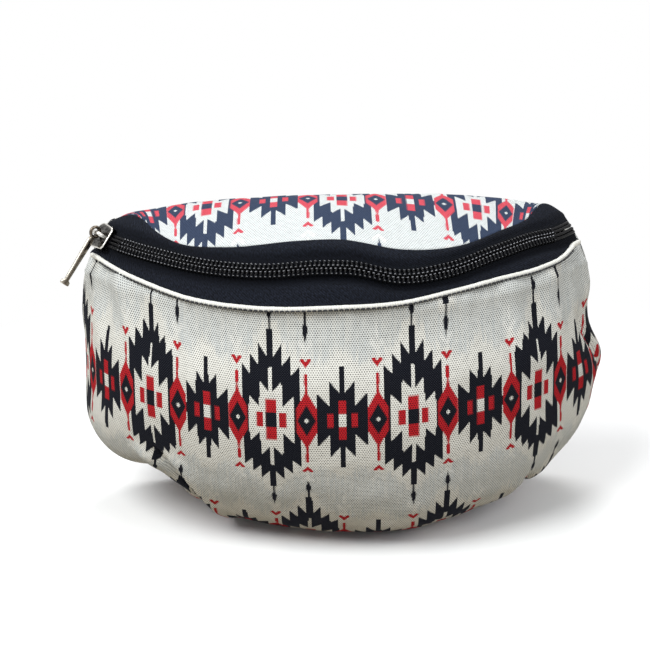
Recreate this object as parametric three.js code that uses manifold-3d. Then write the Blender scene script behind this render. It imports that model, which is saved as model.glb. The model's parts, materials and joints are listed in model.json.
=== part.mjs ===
// Insulated saddle pouch: a crescent-shaped zipped bag of printed nylon with a foam and foil inner,
// carried on the front of a saddle by a loop round the horn and two hook-and-loop straps.
// Millimetres, +Z up, +X to the right as seen from the front, front of the bag towards -Y.
// The origin is the middle of the flat spot that the bag stands on.
import * as THREE from "three";
import { mergeVertices } from "three/addons/utils/BufferGeometryUtils.js";
import Module from "manifold-3d";

const wasm = await Module();
wasm.setup();

// Body of the bag
const halfWidth = 120.5; // widest half width, at and above the belly
const frontDepth = 46.8; // belly's foremost point, in front of the origin
const backDepth = 47; // outer face of the back panel, behind the origin
const bellyHeight = 62; // level below which the bottom rounds in
const bottomFrontRadius = 35; // rounding of the front into the bottom
const restHalfLength = 32; // half length of the flat resting spot
const cornerFullness = 2.35; // exponent of the lower corners' outline, where 2 is an ellipse
const shoulderHeight = 100; // level above which the sides lean in
const shoulderDrop = 21; // how far each side leans in at the top of the zip band
const sideWrapAngle = 96; // degrees of the belly's half ellipse, so that its edges curl in at the back

// Mouth: the zip band is a cone about one upright axis, so that the slider runs on a true circle
const mouthHeight = 115.5; // level of the piped edge
const mouthSetback = 6.8; // piped edge behind the belly's foremost point
const mouthRadius = 142;
const mouthHalfAngle = 56.7; // degrees each side of the middle
const mouthEndAngle = 79; // the same end, in degrees of the belly's ellipse
const bandWidth = 31; // visible zip band, from the piped edge to the top panel
const bandSlope = 50; // degrees above level
const chainRaise = 2.5; // chain's middle above the middle of the band
const bellyBlend = 34; // height over which the mouth's curve turns into the belly's
const wingBow = 8; // how far the wing behind the mouth's end bows back

// Top panel
const crownRise = 3; // back seam's middle above the band's top edge
const crownDome = 7; // doming of the panel above a flat sheet
const cornerDrop = 8; // back seam's ends below the band's top edge

// Walls
const skin = 1; // printed nylon
const foam = 4; // insulation
const foil = 0.6; // lining
const gap = 0.3; // clearance between neighbouring pieces
const sheetGap = 0.75; // the same between the curved layers of the walls

// Piping and stitching
const pipingRadius = 1.3;
const pipingHalfAngle = 53.5; // the piping stops short of the mouth's ends
const stitchHalfAngle = 52;
const stitchDrop = 3.2; // stitch line below the piping's middle
const stitchWidth = 0.8;
const stitchHeight = 0.6;

// Zip chain, across the tape and out from it
const tapeThickness = 0.8;
const tapeSlit = 0.9; // half width of the slit where the chain's two sides meet
const coilInner = 0.8; // coil's edge nearest the middle
const coilWidth = 3.2;
const coilHeight = 2.35;
const coilPitch = 2.6; // from one tooth to the next
const coilValley = 0.8; // depth between two teeth
const coilSetback = 0.8; // coil's ends from the tapes' ends

// Slider and pull
const sliderLength = 12;
const sliderFrontWidth = 12.6;
const sliderRearWidth = 11.4;
const sliderPlate = 1;
const sliderFlange = 1.1;
const sliderClearance = 0.45;
const sliderPost = 0.9; // width of the post between the plates
const bridgeSpan = 9.6;
const bridgeBar = 1.8;
const eyeHole = 1.6; // radius of the pull's eye
const eyeWall = 1.5;
const pullThickness = 1.5;
const pullLength = 28;
const pullWidth = 3;
const pullFootWidth = 4.8;
const pullFootLength = 2;
const pullRestTilt = 0; // degrees that the pull's tip stands off the zip band

// Webbing
const webbing = 1.6;
const webbingWidth = 25;
const patch = 1.2; // hook or pile patch
const hornLoopHalfWidth = 25; // inside of the horn loop
const hornLoopReach = 20; // straight part of the loop, out from the back panel
const hornLoopBase = 86; // lower edge of the horn loop
const hornFlange = 16; // sewn-down end of each half of the loop
const hornOverlap = 34; // degrees each side of the loop's middle that the patches cover
const strapCentre = 70; // saddle straps' distance from the middle
const strapTop = 104;
const strapBottom = 42;
const strapGap = 8; // space inside a strap's fold
const strapPatchLength = 22;
const strapBend = 4; // radius at which webbing leaves a sewn-down end

const rad = THREE.MathUtils.degToRad;
const frontY = -frontDepth;
const mouthFrontY = frontY + mouthSetback;
const axisY = mouthFrontY + mouthRadius;
const slantRun = Math.cos(rad(bandSlope));
const slantRise = Math.sin(rad(bandSlope));
const bandTop = mouthHeight + bandWidth * slantRise;
const bandTopRadius = mouthRadius - bandWidth * slantRun;
const lowerHalf = bandWidth / 2 + chainRaise; // from the piped edge to the chain's middle
const upperHalf = bandWidth / 2 - chainRaise; // from there to the top panel
const chainRadius = mouthRadius - lowerHalf * slantRun;
const chainHeight = mouthHeight + lowerHalf * slantRise;
const panelTop = mouthHeight - pipingRadius - gap; // the front panel's upper edge
const skinEndY = backDepth - skin - gap; // where the front panel meets the back panel
const foamInset = skin + sheetGap;
const foilInset = foamInset + foam + sheetGap;
const foamEndY = skinEndY - foam - gap;
const foilEndY = foamEndY - foil - gap;

// Facets
const bodyColumns = 24;
const bellyRows = 5;
const bottomRows = 7;
const zipSteps = 32;
const crownColumns = 20;

const materials = {
  print: new THREE.MeshStandardMaterial({ color: 0xdedbd4, roughness: 0.8, metalness: 0 }),
  backing: new THREE.MeshStandardMaterial({ color: 0x1d1f26, roughness: 0.85, metalness: 0 }),
  foam: new THREE.MeshStandardMaterial({ color: 0xe9e9ea, roughness: 0.9, metalness: 0 }),
  foil: new THREE.MeshStandardMaterial({ color: 0xc3c6ca, roughness: 0.35, metalness: 0.8 }),
  tape: new THREE.MeshStandardMaterial({ color: 0x17191f, roughness: 0.9, metalness: 0 }),
  coil: new THREE.MeshStandardMaterial({ color: 0x101114, roughness: 0.4, metalness: 0 }),
  piping: new THREE.MeshStandardMaterial({ color: 0xe8e5de, roughness: 0.8, metalness: 0 }),
  thread: new THREE.MeshStandardMaterial({ color: 0x15161a, roughness: 0.8, metalness: 0 }),
  nickel: new THREE.MeshStandardMaterial({ color: 0xc9c5ba, roughness: 0.25, metalness: 1 }),
  webbing: new THREE.MeshStandardMaterial({ color: 0x1a1b20, roughness: 0.85, metalness: 0 }),
  grip: new THREE.MeshStandardMaterial({ color: 0x141519, roughness: 0.95, metalness: 0 }),
};

// Solids

// A closed geometry from points and triangles, turned to face out.
function closedGeometry(points, triangles) {
  let volume = 0;
  for (const [a, b, c] of triangles) volume += points[a].dot(points[b].clone().cross(points[c]));
  const index = triangles.flatMap(([a, b, c]) => (volume < 0 ? [a, c, b] : [a, b, c]));
  const geometry = new THREE.BufferGeometry().setFromPoints(points);
  geometry.setIndex(index);
  return geometry;
}

function toSolid(geometry) {
  const bare = geometry.clone();
  bare.deleteAttribute("normal");
  bare.deleteAttribute("uv");
  const merged = mergeVertices(bare, 1e-4);
  const vertProperties = new Float32Array(merged.attributes.position.array);
  const triVerts = new Uint32Array(merged.index.array);
  return new wasm.Manifold(new wasm.Mesh({ numProp: 3, vertProperties, triVerts }));
}

function toGeometry(solid) {
  const { vertProperties, triVerts } = solid.getMesh();
  const geometry = new THREE.BufferGeometry();
  geometry.setAttribute("position", new THREE.BufferAttribute(new Float32Array(vertProperties), 3));
  geometry.setIndex(new THREE.BufferAttribute(new Uint32Array(triVerts), 1));
  return geometry;
}

// A sheet with thickness: two grids of points, rows by columns, joined round their edges.
function sheetGeometry(outer, inner) {
  const rows = outer.length;
  const columns = outer[0].length;
  const points = [...outer.flat(), ...inner.flat()];
  const out = (r, c) => r * columns + c;
  const into = (r, c) => rows * columns + out(r, c);
  const triangles = [];
  const quad = (a, b, c, d) => triangles.push([a, b, c], [a, c, d]);
  for (let r = 0; r + 1 < rows; r++) {
    for (let c = 0; c + 1 < columns; c++) {
      quad(out(r, c), out(r, c + 1), out(r + 1, c + 1), out(r + 1, c));
      quad(into(r, c), into(r + 1, c), into(r + 1, c + 1), into(r, c + 1));
    }
    quad(out(r, 0), out(r + 1, 0), into(r + 1, 0), into(r, 0));
    quad(out(r, columns - 1), into(r, columns - 1), into(r + 1, columns - 1), out(r + 1, columns - 1));
  }
  for (let c = 0; c + 1 < columns; c++) {
    quad(out(0, c), into(0, c), into(0, c + 1), out(0, c + 1));
    quad(out(rows - 1, c), out(rows - 1, c + 1), into(rows - 1, c + 1), into(rows - 1, c));
  }
  return closedGeometry(points, triangles);
}

// A closed outline of [radius, height] pairs swept about the mouth's axis; 0 degrees points to the front.
// Where `between` is given, it takes the outline's place at every second step.
function sweptGeometry(outline, from, to, steps, between = outline) {
  const points = [];
  for (let i = 0; i <= steps; i++) {
    const turn = rad(from + ((to - from) * i) / steps);
    for (const [radius, height] of i % 2 ? outline : between)
      points.push(new THREE.Vector3(radius * Math.sin(turn), axisY - radius * Math.cos(turn), height));
  }
  const n = outline.length;
  const triangles = [];
  for (let i = 0; i < steps; i++)
    for (let k = 0; k < n; k++) {
      const a = i * n + k;
      const b = i * n + ((k + 1) % n);
      triangles.push([a, b, b + n], [a, b + n, a + n]);
    }
  const flat = outline.map(([radius, height]) => new THREE.Vector2(radius, height));
  const last = steps * n;
  for (const [a, b, c] of THREE.ShapeUtils.triangulateShape(flat, [])) {
    const sameWay = THREE.ShapeUtils.area([flat[a], flat[b], flat[c]]) * THREE.ShapeUtils.area(flat) > 0;
    const [p, q] = sameWay ? [b, c] : [c, b];
    triangles.push([a, q, p], [last + a, last + p, last + q]);
  }
  return closedGeometry(points, triangles);
}

// A point of the zip's cross-section: across the tape (up positive) and out from it, as [radius, height].
const bandPoint = (across, out) => [
  chainRadius - across * slantRun + out * slantRise,
  chainHeight + across * slantRise + out * slantRun,
];
const bandOutline = (pairs) => pairs.map(([across, out]) => bandPoint(across, out));

// A length along the zip as degrees about the mouth's axis.
const alongZip = (length) => THREE.MathUtils.radToDeg(length / chainRadius);

// From a shape in the plane across the bag, drawn as [y, z], to a solid that runs along X.
const lengthwise = new THREE.Matrix4().makeBasis(
  new THREE.Vector3(0, 1, 0),
  new THREE.Vector3(0, 0, 1),
  new THREE.Vector3(1, 0, 0),
);

function extruded(shape, depth, curveSegments = 3) {
  return new THREE.ExtrudeGeometry(shape, { depth, bevelEnabled: false, curveSegments });
}

// A strip that follows a flat path, with one face on it: points are [a, b] pairs in the path's plane.
function ribbonShape(path, thickness) {
  const offset = path.map((point, i) => {
    const before = path[Math.max(i - 1, 0)];
    const after = path[Math.min(i + 1, path.length - 1)];
    const along = new THREE.Vector2(after[0] - before[0], after[1] - before[1]).normalize();
    return [point[0] - along.y * thickness, point[1] + along.x * thickness];
  });
  return new THREE.Shape([...path, ...offset.reverse()].map(([a, b]) => new THREE.Vector2(a, b)));
}

function arcPath(centre, radius, from, to, steps) {
  return Array.from({ length: steps + 1 }, (_, i) => {
    const turn = rad(from + ((to - from) * i) / steps);
    return [centre[0] + radius * Math.cos(turn), centre[1] + radius * Math.sin(turn)];
  });
}

// Surface of the bag

// Evenly spaced values from `from` towards `to`, which is left out.
const levels = (from, to, count) => Array.from({ length: count }, (_, i) => from + ((to - from) * i) / count);

// Half width at a height, for a surface that lies `inset` inside the outer one.
function halfWidthAt(height, inset) {
  if (height < bellyHeight) {
    const drop = Math.min(1, (bellyHeight - height) / (bellyHeight - inset));
    const share = (1 - drop ** cornerFullness) ** (1 / cornerFullness);
    return restHalfLength + (halfWidth - restHalfLength - inset) * share;
  }
  const lean = Math.max(0, (height - shoulderHeight) / (bandTop - shoulderHeight));
  return halfWidth - inset - shoulderDrop * lean * lean;
}

// Foremost point of the belly's section at a height.
function bellyFrontAt(height, inset) {
  if (height >= bottomFrontRadius) return frontY + inset;
  const drop = Math.min(1, (bottomFrontRadius - height) / (bottomFrontRadius - inset));
  return frontY + inset + (bottomFrontRadius - inset) * (1 - Math.sqrt(1 - drop * drop));
}

// A point of the belly's section: a half ellipse whose ends curl in at the back.
function bellyPoint(turn, height, inset) {
  const front = bellyFrontAt(height, 0);
  const centreY = front + (skinEndY - front) / (1 - Math.cos(rad(sideWrapAngle)));
  const depth = centreY - bellyFrontAt(height, inset);
  return [halfWidthAt(height, inset) * Math.sin(turn), centreY - depth * Math.cos(turn)];
}

// A point of the mouth's section: a circular arc, then a wing that runs back to the seam.
function mouthPoint(turn, height, inset) {
  const radius = mouthRadius - inset - Math.max(0, height - mouthHeight) * (slantRun / slantRise);
  const endX = radius * Math.sin(rad(mouthHalfAngle));
  const endTurn = rad(mouthEndAngle);
  if (Math.abs(turn) <= endTurn) {
    const x = (endX * Math.sin(turn)) / Math.sin(endTurn);
    return [x, axisY - Math.sqrt(radius * radius - x * x)];
  }
  const endY = axisY - radius * Math.cos(rad(mouthHalfAngle));
  const side = halfWidthAt(height, inset);
  const t = (Math.abs(turn) - endTurn) / (rad(sideWrapAngle) - endTurn);
  const mix = (a, b, c) => (1 - t) * (1 - t) * a + 2 * t * (1 - t) * b + t * t * c;
  const backX = side * Math.sin(rad(sideWrapAngle));
  return [Math.sign(turn) * mix(endX, side + 1, backX), mix(endY, endY + wingBow, skinEndY)];
}

function sectionPoint(turn, height, inset) {
  const share = THREE.MathUtils.smoothstep(mouthHeight - height, 0, bellyBlend);
  const mouth = mouthPoint(turn, height, inset);
  const belly = bellyPoint(turn, height, inset);
  return [THREE.MathUtils.lerp(mouth[0], belly[0], share), THREE.MathUtils.lerp(mouth[1], belly[1], share)];
}

// The ellipse angle at which a section reaches the plane y = endY.
function endTurnAt(height, inset, endY) {
  let low = rad(mouthEndAngle / 2);
  let high = rad(sideWrapAngle);
  for (let i = 0; i < 40; i++) {
    const middle = (low + high) / 2;
    if (sectionPoint(middle, height, inset)[1] < endY) low = middle;
    else high = middle;
  }
  return high;
}

function sectionRow(height, inset, endY, columns) {
  const end = endTurnAt(height, inset, endY);
  return Array.from({ length: columns + 1 }, (_, i) => {
    const [x, y] = sectionPoint(end * ((2 * i) / columns - 1), height, inset);
    return new THREE.Vector3(x, i === 0 || i === columns ? endY : y, height);
  });
}

// Heights from `top` down to the resting level of a surface, closer together where the bottom rounds in.
function rowHeights(top, inset, upperRows, lowerRows) {
  const upper = levels(top, bellyHeight, upperRows);
  const lower = Array.from({ length: lowerRows + 1 }, (_, i) => {
    const turn = (Math.PI / 2) * (i / lowerRows);
    return inset + (bellyHeight - inset) * (1 - Math.sin(turn));
  });
  return [...upper, ...lower];
}

// The bag's front, sides and bottom as a grid: its rows go down the front and back along the flat bottom.
function frontGrid(wingRows, inset, endY) {
  const heights = [...wingRows, ...rowHeights(panelTop, inset, bellyRows, bottomRows)];
  const grid = heights.map((height) => sectionRow(height, inset, endY, bodyColumns));
  const last = grid[grid.length - 1];
  const floorShare = 0.999;
  const floorRow = last.map((p, i) => {
    const seamX = THREE.MathUtils.lerp(last[0].x, last[bodyColumns].x, i / bodyColumns);
    return p.clone().lerp(new THREE.Vector3(seamX, endY, p.z), floorShare);
  });
  return [...grid, floorRow];
}

// Height of the top panel's outer face.
function crownHeight(x, y) {
  const half = bandTopRadius * Math.sin(rad(mouthHalfAngle));
  const across = Math.min(1, Math.abs(x) / half);
  const nearX = Math.min(Math.abs(x), half);
  const startY = axisY - Math.sqrt(bandTopRadius * bandTopRadius - nearX * nearX);
  const t = THREE.MathUtils.clamp((y - startY) / (skinEndY - startY), 0, 1);
  const round = 1 - across * across;
  const bump = 2 * t * (1 - t) + 3.4 * t * t * (1 - t);
  return bandTop + t * (crownRise * round - cornerDrop * across ** 4) + crownDome * bump * Math.sqrt(round);
}

// The top panel as a grid, `inset` below its outer face and `margin` in from the band and the wings.
// Its columns lie closer together towards the ends, where the panel falls away faster.
function crownGrid(inset, margin, endY, columns, rows) {
  const radius = bandTopRadius - margin;
  const half = radius * Math.sin(rad(mouthHalfAngle)) - margin;
  const spread = rad(85);
  return Array.from({ length: rows + 1 }, (_, r) =>
    Array.from({ length: columns + 1 }, (_, c) => {
      const x = (half * Math.sin(((c / columns) * 2 - 1) * spread)) / Math.sin(spread);
      const startY = axisY - Math.sqrt(radius * radius - x * x);
      const y = startY + ((endY - startY) * r) / rows;
      return new THREE.Vector3(x, y, crownHeight(x, y) - inset);
    }),
  );
}

// A flat panel across the back, from one plane to another, that fills the body's outline less an inset.
function backGeometry(nearY, farY, inset, topInset, columns, lowerRows, upperRows) {
  const low = rowHeights(shoulderHeight, inset, 3, lowerRows).reverse();
  const row = (height, y, upAt) => {
    const level = Math.min(height, bandTop);
    const [side] = sectionPoint(endTurnAt(level, inset, skinEndY), level, inset);
    return Array.from({ length: columns + 1 }, (_, c) => {
      const x = side * ((2 * c) / columns - 1);
      return new THREE.Vector3(x, y, upAt(x));
    });
  };
  const high = Array.from({ length: upperRows }, (_, i) => (i + 1) / upperRows);
  const grid = (y) => [
    ...low.map((h) => row(h, y, () => h)),
    ...high.map((share) => {
      const level = shoulderHeight + (bandTop - topInset - shoulderHeight) * share;
      return row(level, y, (x) => level + (crownHeight(x, skinEndY) - bandTop) * share);
    }),
  ];
  return sheetGeometry(grid(nearY), grid(farY));
}

// Pieces of the bag

const group = new THREE.Group();
const bag = new THREE.Group();
group.add(bag);

function addPiece(name, geometry, material, parent = bag) {
  const mesh = new THREE.Mesh(geometry, material);
  mesh.name = name;
  parent.add(mesh);
  return mesh;
}

// Printed front, sides and bottom in one piece, cut away where the zip band goes.
function frontPanel() {
  const wingRows = levels(bandTop - skin - gap, panelTop, 4);
  const grid = (inset) => frontGrid(wingRows, inset, skinEndY);
  const sheet = toSolid(sheetGeometry(grid(0), grid(skin)));
  const end = mouthHalfAngle + alongZip(gap);
  const near = bandTopRadius - 20;
  const far = mouthRadius + 20;
  const outline = [[near, panelTop], [far, panelTop], [far, bandTop + 20], [near, bandTop + 20]];
  const mouth = toSolid(sweptGeometry(outline, -end, end, zipSteps));
  return toGeometry(sheet.subtract(mouth).subtract(wingCut()));
}

// Everything above the line along which the wings slope from the ends of the mouth to the back seam.
function wingCut() {
  const startY = axisY - mouthRadius * Math.cos(rad(mouthHalfAngle));
  const top = bandTop - skin - gap;
  const slope = cornerDrop / (skinEndY - startY);
  const span = 400;
  const shape = new THREE.Shape();
  shape.moveTo(startY - span, top + span * slope);
  shape.lineTo(startY + span, top - span * slope);
  shape.lineTo(startY + span, top + span);
  shape.lineTo(startY - span, top + span);
  return toSolid(extruded(shape, span).applyMatrix4(lengthwise).translate(-span / 2, 0, 0));
}

function innerFront(inset, thickness, endY) {
  const grid = (depth) => frontGrid([], depth, endY);
  return sheetGeometry(grid(inset), grid(inset + thickness));
}

addPiece("front_panel", frontPanel(), materials.print);
addPiece("front_insulation", innerFront(foamInset, foam, foamEndY), materials.foam);
addPiece("front_lining", innerFront(foilInset, foil, foilEndY), materials.foil);

const crownMargin = gap;
const innerMargin = skin + foam + 2 * gap;
const crown = (inset, thickness, margin, endY, columns, rows) =>
  sheetGeometry(
    crownGrid(inset, margin, endY, columns, rows),
    crownGrid(inset + thickness, margin, endY, columns, rows),
  );
addPiece("top_panel", crown(0, skin, crownMargin, skinEndY, crownColumns, 5), materials.print);
const crownFoam = foamInset + gap;
const crownFoil = crownFoam + foam + gap;
addPiece("top_insulation", crown(crownFoam, foam, innerMargin, foamEndY, crownColumns, 4), materials.foam);
addPiece("top_lining", crown(crownFoil, foil, innerMargin, foilEndY, crownColumns, 4), materials.foil);

addPiece(
  "back_panel",
  backGeometry(backDepth - skin, backDepth, 0, 0, 12, 6, 4),
  materials.backing,
);
addPiece(
  "back_insulation",
  backGeometry(skinEndY - foam, skinEndY, foamInset + gap, foamInset + gap, 8, 5, 3),
  materials.foam,
);
addPiece(
  "back_lining",
  backGeometry(foamEndY - foil, foamEndY, foilInset + gap, foilInset + gap, 8, 5, 3),
  materials.foil,
);

// Piping and stitch line

function pipingGeometry() {
  const [radius, height] = bandPoint(-lowerHalf, 0.5);
  const outline = Array.from({ length: 8 }, (_, i) => {
    const turn = (i / 8) * 2 * Math.PI;
    return [radius + pipingRadius * Math.cos(turn), height + pipingRadius * Math.sin(turn)];
  });
  return sweptGeometry(outline, -pipingHalfAngle, pipingHalfAngle, zipSteps);
}

function stitchGeometry() {
  const height = mouthHeight - stitchDrop;
  const face = (turn) => {
    const [x, y] = sectionPoint(turn, height, 0);
    return Math.hypot(x, axisY - y);
  };
  const clear = Math.max(...Array.from({ length: 40 }, (_, i) => face(rad((mouthEndAngle * i) / 40)))) + gap;
  const outline = [
    [clear, height],
    [clear + stitchHeight, height],
    [clear + stitchHeight, height + stitchWidth],
    [clear, height + stitchWidth],
  ];
  return sweptGeometry(outline, -stitchHalfAngle, stitchHalfAngle, zipSteps);
}

addPiece("edge_piping", pipingGeometry(), materials.piping);
addPiece("edge_stitching", stitchGeometry(), materials.thread);

// Zip: two tapes with a coil on each, sewn in at both ends

const tapeHalf = tapeThickness / 2;
const lowerTapeEdge = lowerHalf - pipingRadius - gap;
const upperTapeEdge = upperHalf - gap;
const coilBase = tapeHalf + gap;
const coilTop = coilBase + coilHeight;
const coilOuter = coilInner + coilWidth;
const coilHalfAngle = mouthHalfAngle - alongZip(coilSetback);

// side is 1 for the upper half of the zip and -1 for the lower half.
function tapeGeometry(side, edge) {
  const outline = [[tapeSlit, -tapeHalf], [edge, -tapeHalf], [edge, tapeHalf], [tapeSlit, tapeHalf]];
  const placed = outline.map(([across, out]) => [side * across, out]);
  return sweptGeometry(bandOutline(placed), -mouthHalfAngle, mouthHalfAngle, zipSteps);
}

// One half of the chain: a bar with a tooth at every second step.
function coilGeometry(side) {
  const outline = (top) => {
    const pairs = [[coilInner, coilBase], [coilOuter, coilBase], [coilOuter, top - 0.7], [coilInner, top]];
    return bandOutline(pairs.map(([across, out]) => [side * across, out]));
  };
  const teeth = Math.round((2 * coilHalfAngle) / alongZip(coilPitch));
  const valley = outline(coilTop - coilValley);
  return sweptGeometry(outline(coilTop), -coilHalfAngle, coilHalfAngle, 2 * teeth, valley);
}

addPiece("zip_tape_lower", tapeGeometry(-1, lowerTapeEdge), materials.tape);
addPiece("zip_tape_upper", tapeGeometry(1, upperTapeEdge), materials.tape);
addPiece("zip_coil_lower", coilGeometry(-1), materials.coil);
addPiece("zip_coil_upper", coilGeometry(1), materials.coil);

// Slider: its own frame has +X along the zip towards its other end, +Y up the band and +Z out from it

const sliderTurn = -mouthHalfAngle + alongZip(sliderLength / 2 + gap);
const sliderTopFace = coilTop + sliderClearance;
const sliderUnderFace = -tapeHalf - sliderClearance;
const channelHalf = coilOuter + sliderClearance;
const bridgeHeight = sliderTopFace + sliderPlate + eyeHole + eyeWall + sliderClearance;

function sliderPlateShape() {
  const front = sliderLength / 2;
  const wide = sliderFrontWidth / 2;
  const narrow = sliderRearWidth / 2;
  const corner = 1.6;
  const shape = new THREE.Shape();
  shape.moveTo(front, narrow - corner);
  shape.lineTo(front, -narrow + corner);
  shape.quadraticCurveTo(front, -narrow, front - corner, -narrow);
  shape.lineTo(-front + 2 * corner, -wide);
  shape.quadraticCurveTo(-front, -wide, -front, -wide + 2 * corner);
  shape.lineTo(-front, wide - 2 * corner);
  shape.quadraticCurveTo(-front, wide, -front + 2 * corner, wide);
  shape.lineTo(front - corner, narrow);
  shape.quadraticCurveTo(front, narrow, front, narrow - corner);
  return shape;
}

function sliderGeometry() {
  const plate = (low) => toSolid(extruded(sliderPlateShape(), sliderPlate).translate(0, 0, low));
  const flangeDrop = sliderTopFace - tapeHalf - sliderClearance;
  const flange = (side) => {
    const low = sliderTopFace - flangeDrop;
    const box = new THREE.BoxGeometry(sliderLength - 3, sliderFlange, flangeDrop + 0.5);
    return toSolid(box.translate(0, side * (channelHalf + sliderFlange / 2), low + (flangeDrop + 0.5) / 2));
  };
  const postHeight = sliderTopFace - sliderUnderFace + 1;
  const post = new THREE.BoxGeometry(3, sliderPost, postHeight);
  post.translate(3 - sliderLength / 2, 0, sliderUnderFace - 0.5 + postHeight / 2);
  const plates = plate(sliderTopFace).add(plate(sliderUnderFace - sliderPlate));
  return toGeometry(plates.add(flange(1)).add(flange(-1)).add(toSolid(post)).add(bridgeSolid()));
}

// An arch along the slider, whose straight bar carries the pull's eye.
function bridgeSolid() {
  const low = sliderTopFace + sliderPlate / 2;
  const high = bridgeHeight + bridgeBar / 2;
  const half = bridgeSpan / 2;
  const slope = 1.6;
  const outline = new THREE.Shape();
  outline.moveTo(-half, low);
  outline.lineTo(-half + slope, high);
  outline.lineTo(half - slope, high);
  outline.lineTo(half, low);
  outline.lineTo(half - bridgeBar, low);
  outline.lineTo(half - slope - bridgeBar * 0.7, bridgeHeight - bridgeBar / 2);
  outline.lineTo(-half + slope + bridgeBar * 0.7, bridgeHeight - bridgeBar / 2);
  outline.lineTo(-half + bridgeBar, low);
  const arch = extruded(outline, bridgeBar).translate(0, 0, -bridgeBar / 2);
  return toSolid(arch.rotateX(Math.PI / 2));
}

// The pull, in the slider's frame: its eye turns on the bridge's bar, and it reaches down the band.
function pullGeometry() {
  const ring = eyeHole + eyeWall;
  const half = pullWidth / 2;
  const neck = Math.sqrt(ring * ring - half * half);
  const foot = pullLength - pullFootLength;
  const shape = new THREE.Shape();
  const start = Math.asin(half / ring);
  shape.moveTo(neck, -half);
  shape.lineTo(foot, -half * 0.8);
  shape.lineTo(foot, -pullFootWidth / 2);
  shape.lineTo(pullLength, -pullFootWidth / 2);
  shape.lineTo(pullLength, pullFootWidth / 2);
  shape.lineTo(foot, pullFootWidth / 2);
  shape.lineTo(foot, half * 0.8);
  shape.lineTo(neck, half);
  shape.absarc(0, 0, ring, start, 2 * Math.PI - start, false);
  shape.holes.push(new THREE.Path().absarc(0, 0, eyeHole, 0, 2 * Math.PI, true));
  const flat = extruded(shape, pullThickness, 8).translate(0, 0, -pullThickness / 2);
  // From the shape's plane to the plane across the zip: length down the band, thickness along the zip.
  const toBand = new THREE.Matrix4().makeBasis(
    new THREE.Vector3(0, -1, 0),
    new THREE.Vector3(0, 0, 1),
    new THREE.Vector3(-1, 0, 0),
  );
  return flat.applyMatrix4(toBand);
}

// The slider's frame in the bag's.
function sliderFrame() {
  const turn = rad(sliderTurn);
  const outward = new THREE.Vector3(Math.sin(turn), -Math.cos(turn), 0);
  const up = new THREE.Vector3(0, 0, 1);
  const across = outward.clone().multiplyScalar(-slantRun).addScaledVector(up, slantRise);
  const normal = outward.clone().multiplyScalar(slantRise).addScaledVector(up, slantRun);
  const along = new THREE.Vector3().crossVectors(across, normal);
  const frame = new THREE.Matrix4().makeBasis(along, across, normal);
  const centre = outward.multiplyScalar(chainRadius).add(new THREE.Vector3(0, axisY, chainHeight));
  return frame.setPosition(centre);
}

const slider = new THREE.Group();
slider.applyMatrix4(sliderFrame());
group.add(slider);
addPiece("slider_body", sliderGeometry(), materials.nickel, slider);
const pull = new THREE.Group();
pull.position.set(0, 0, bridgeHeight);
pull.rotation.x = -rad(pullRestTilt);
slider.add(pull);
addPiece("pull_tab", pullGeometry(), materials.nickel, pull);

// Horn loop: two lengths of webbing that overlap behind the loop's middle, held by a hook and a pile patch

const hornCentre = [0, backDepth + gap + hornLoopReach];
const standing = (shape) => extruded(shape, webbingWidth).translate(0, 0, hornLoopBase);

// One half of the loop, from its sewn-down end at the side `side` round to `past` degrees beyond the middle.
function hornHalf(side, radius, past) {
  const base = backDepth + gap;
  const bendCentre = [radius + strapBend, base + strapBend];
  const path = [
    [radius + strapBend + hornFlange, base],
    ...arcPath(bendCentre, strapBend, 270, 180, 5),
    ...arcPath(hornCentre, radius, 0, 90 + past, 14),
  ];
  const shape = ribbonShape(path, -webbing);
  const geometry = standing(shape);
  return side > 0 ? geometry : mirrored(geometry);
}

function mirrored(geometry) {
  const made = geometry.index ? geometry.toNonIndexed() : geometry;
  const position = made.getAttribute("position");
  for (let i = 0; i < position.count; i += 3) {
    const corners = [0, 2, 1].map((k) => new THREE.Vector3().fromBufferAttribute(position, i + k));
    corners.forEach((p, k) => position.setXYZ(i + k, -p.x, p.y, p.z));
  }
  return made;
}

const innerStrap = hornLoopHalfWidth;
const pileFace = innerStrap + webbing + gap;
const hookFace = pileFace + patch + gap;
const outerStrap = hookFace + patch + gap;
const patchShape = (radius) =>
  ribbonShape(arcPath(hornCentre, radius, 90 - hornOverlap, 90 + hornOverlap, 10), -patch);

addPiece("horn_strap_inner", hornHalf(1, innerStrap, hornOverlap), materials.webbing);
addPiece("horn_strap_outer", hornHalf(-1, outerStrap, hornOverlap), materials.webbing);
addPiece("horn_pile_patch", standing(patchShape(pileFace)), materials.grip);
addPiece("horn_hook_patch", standing(patchShape(hookFace)), materials.grip);

// Saddle straps: each is one length of webbing, sewn down at its top, folded up at the bottom on to itself

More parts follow.
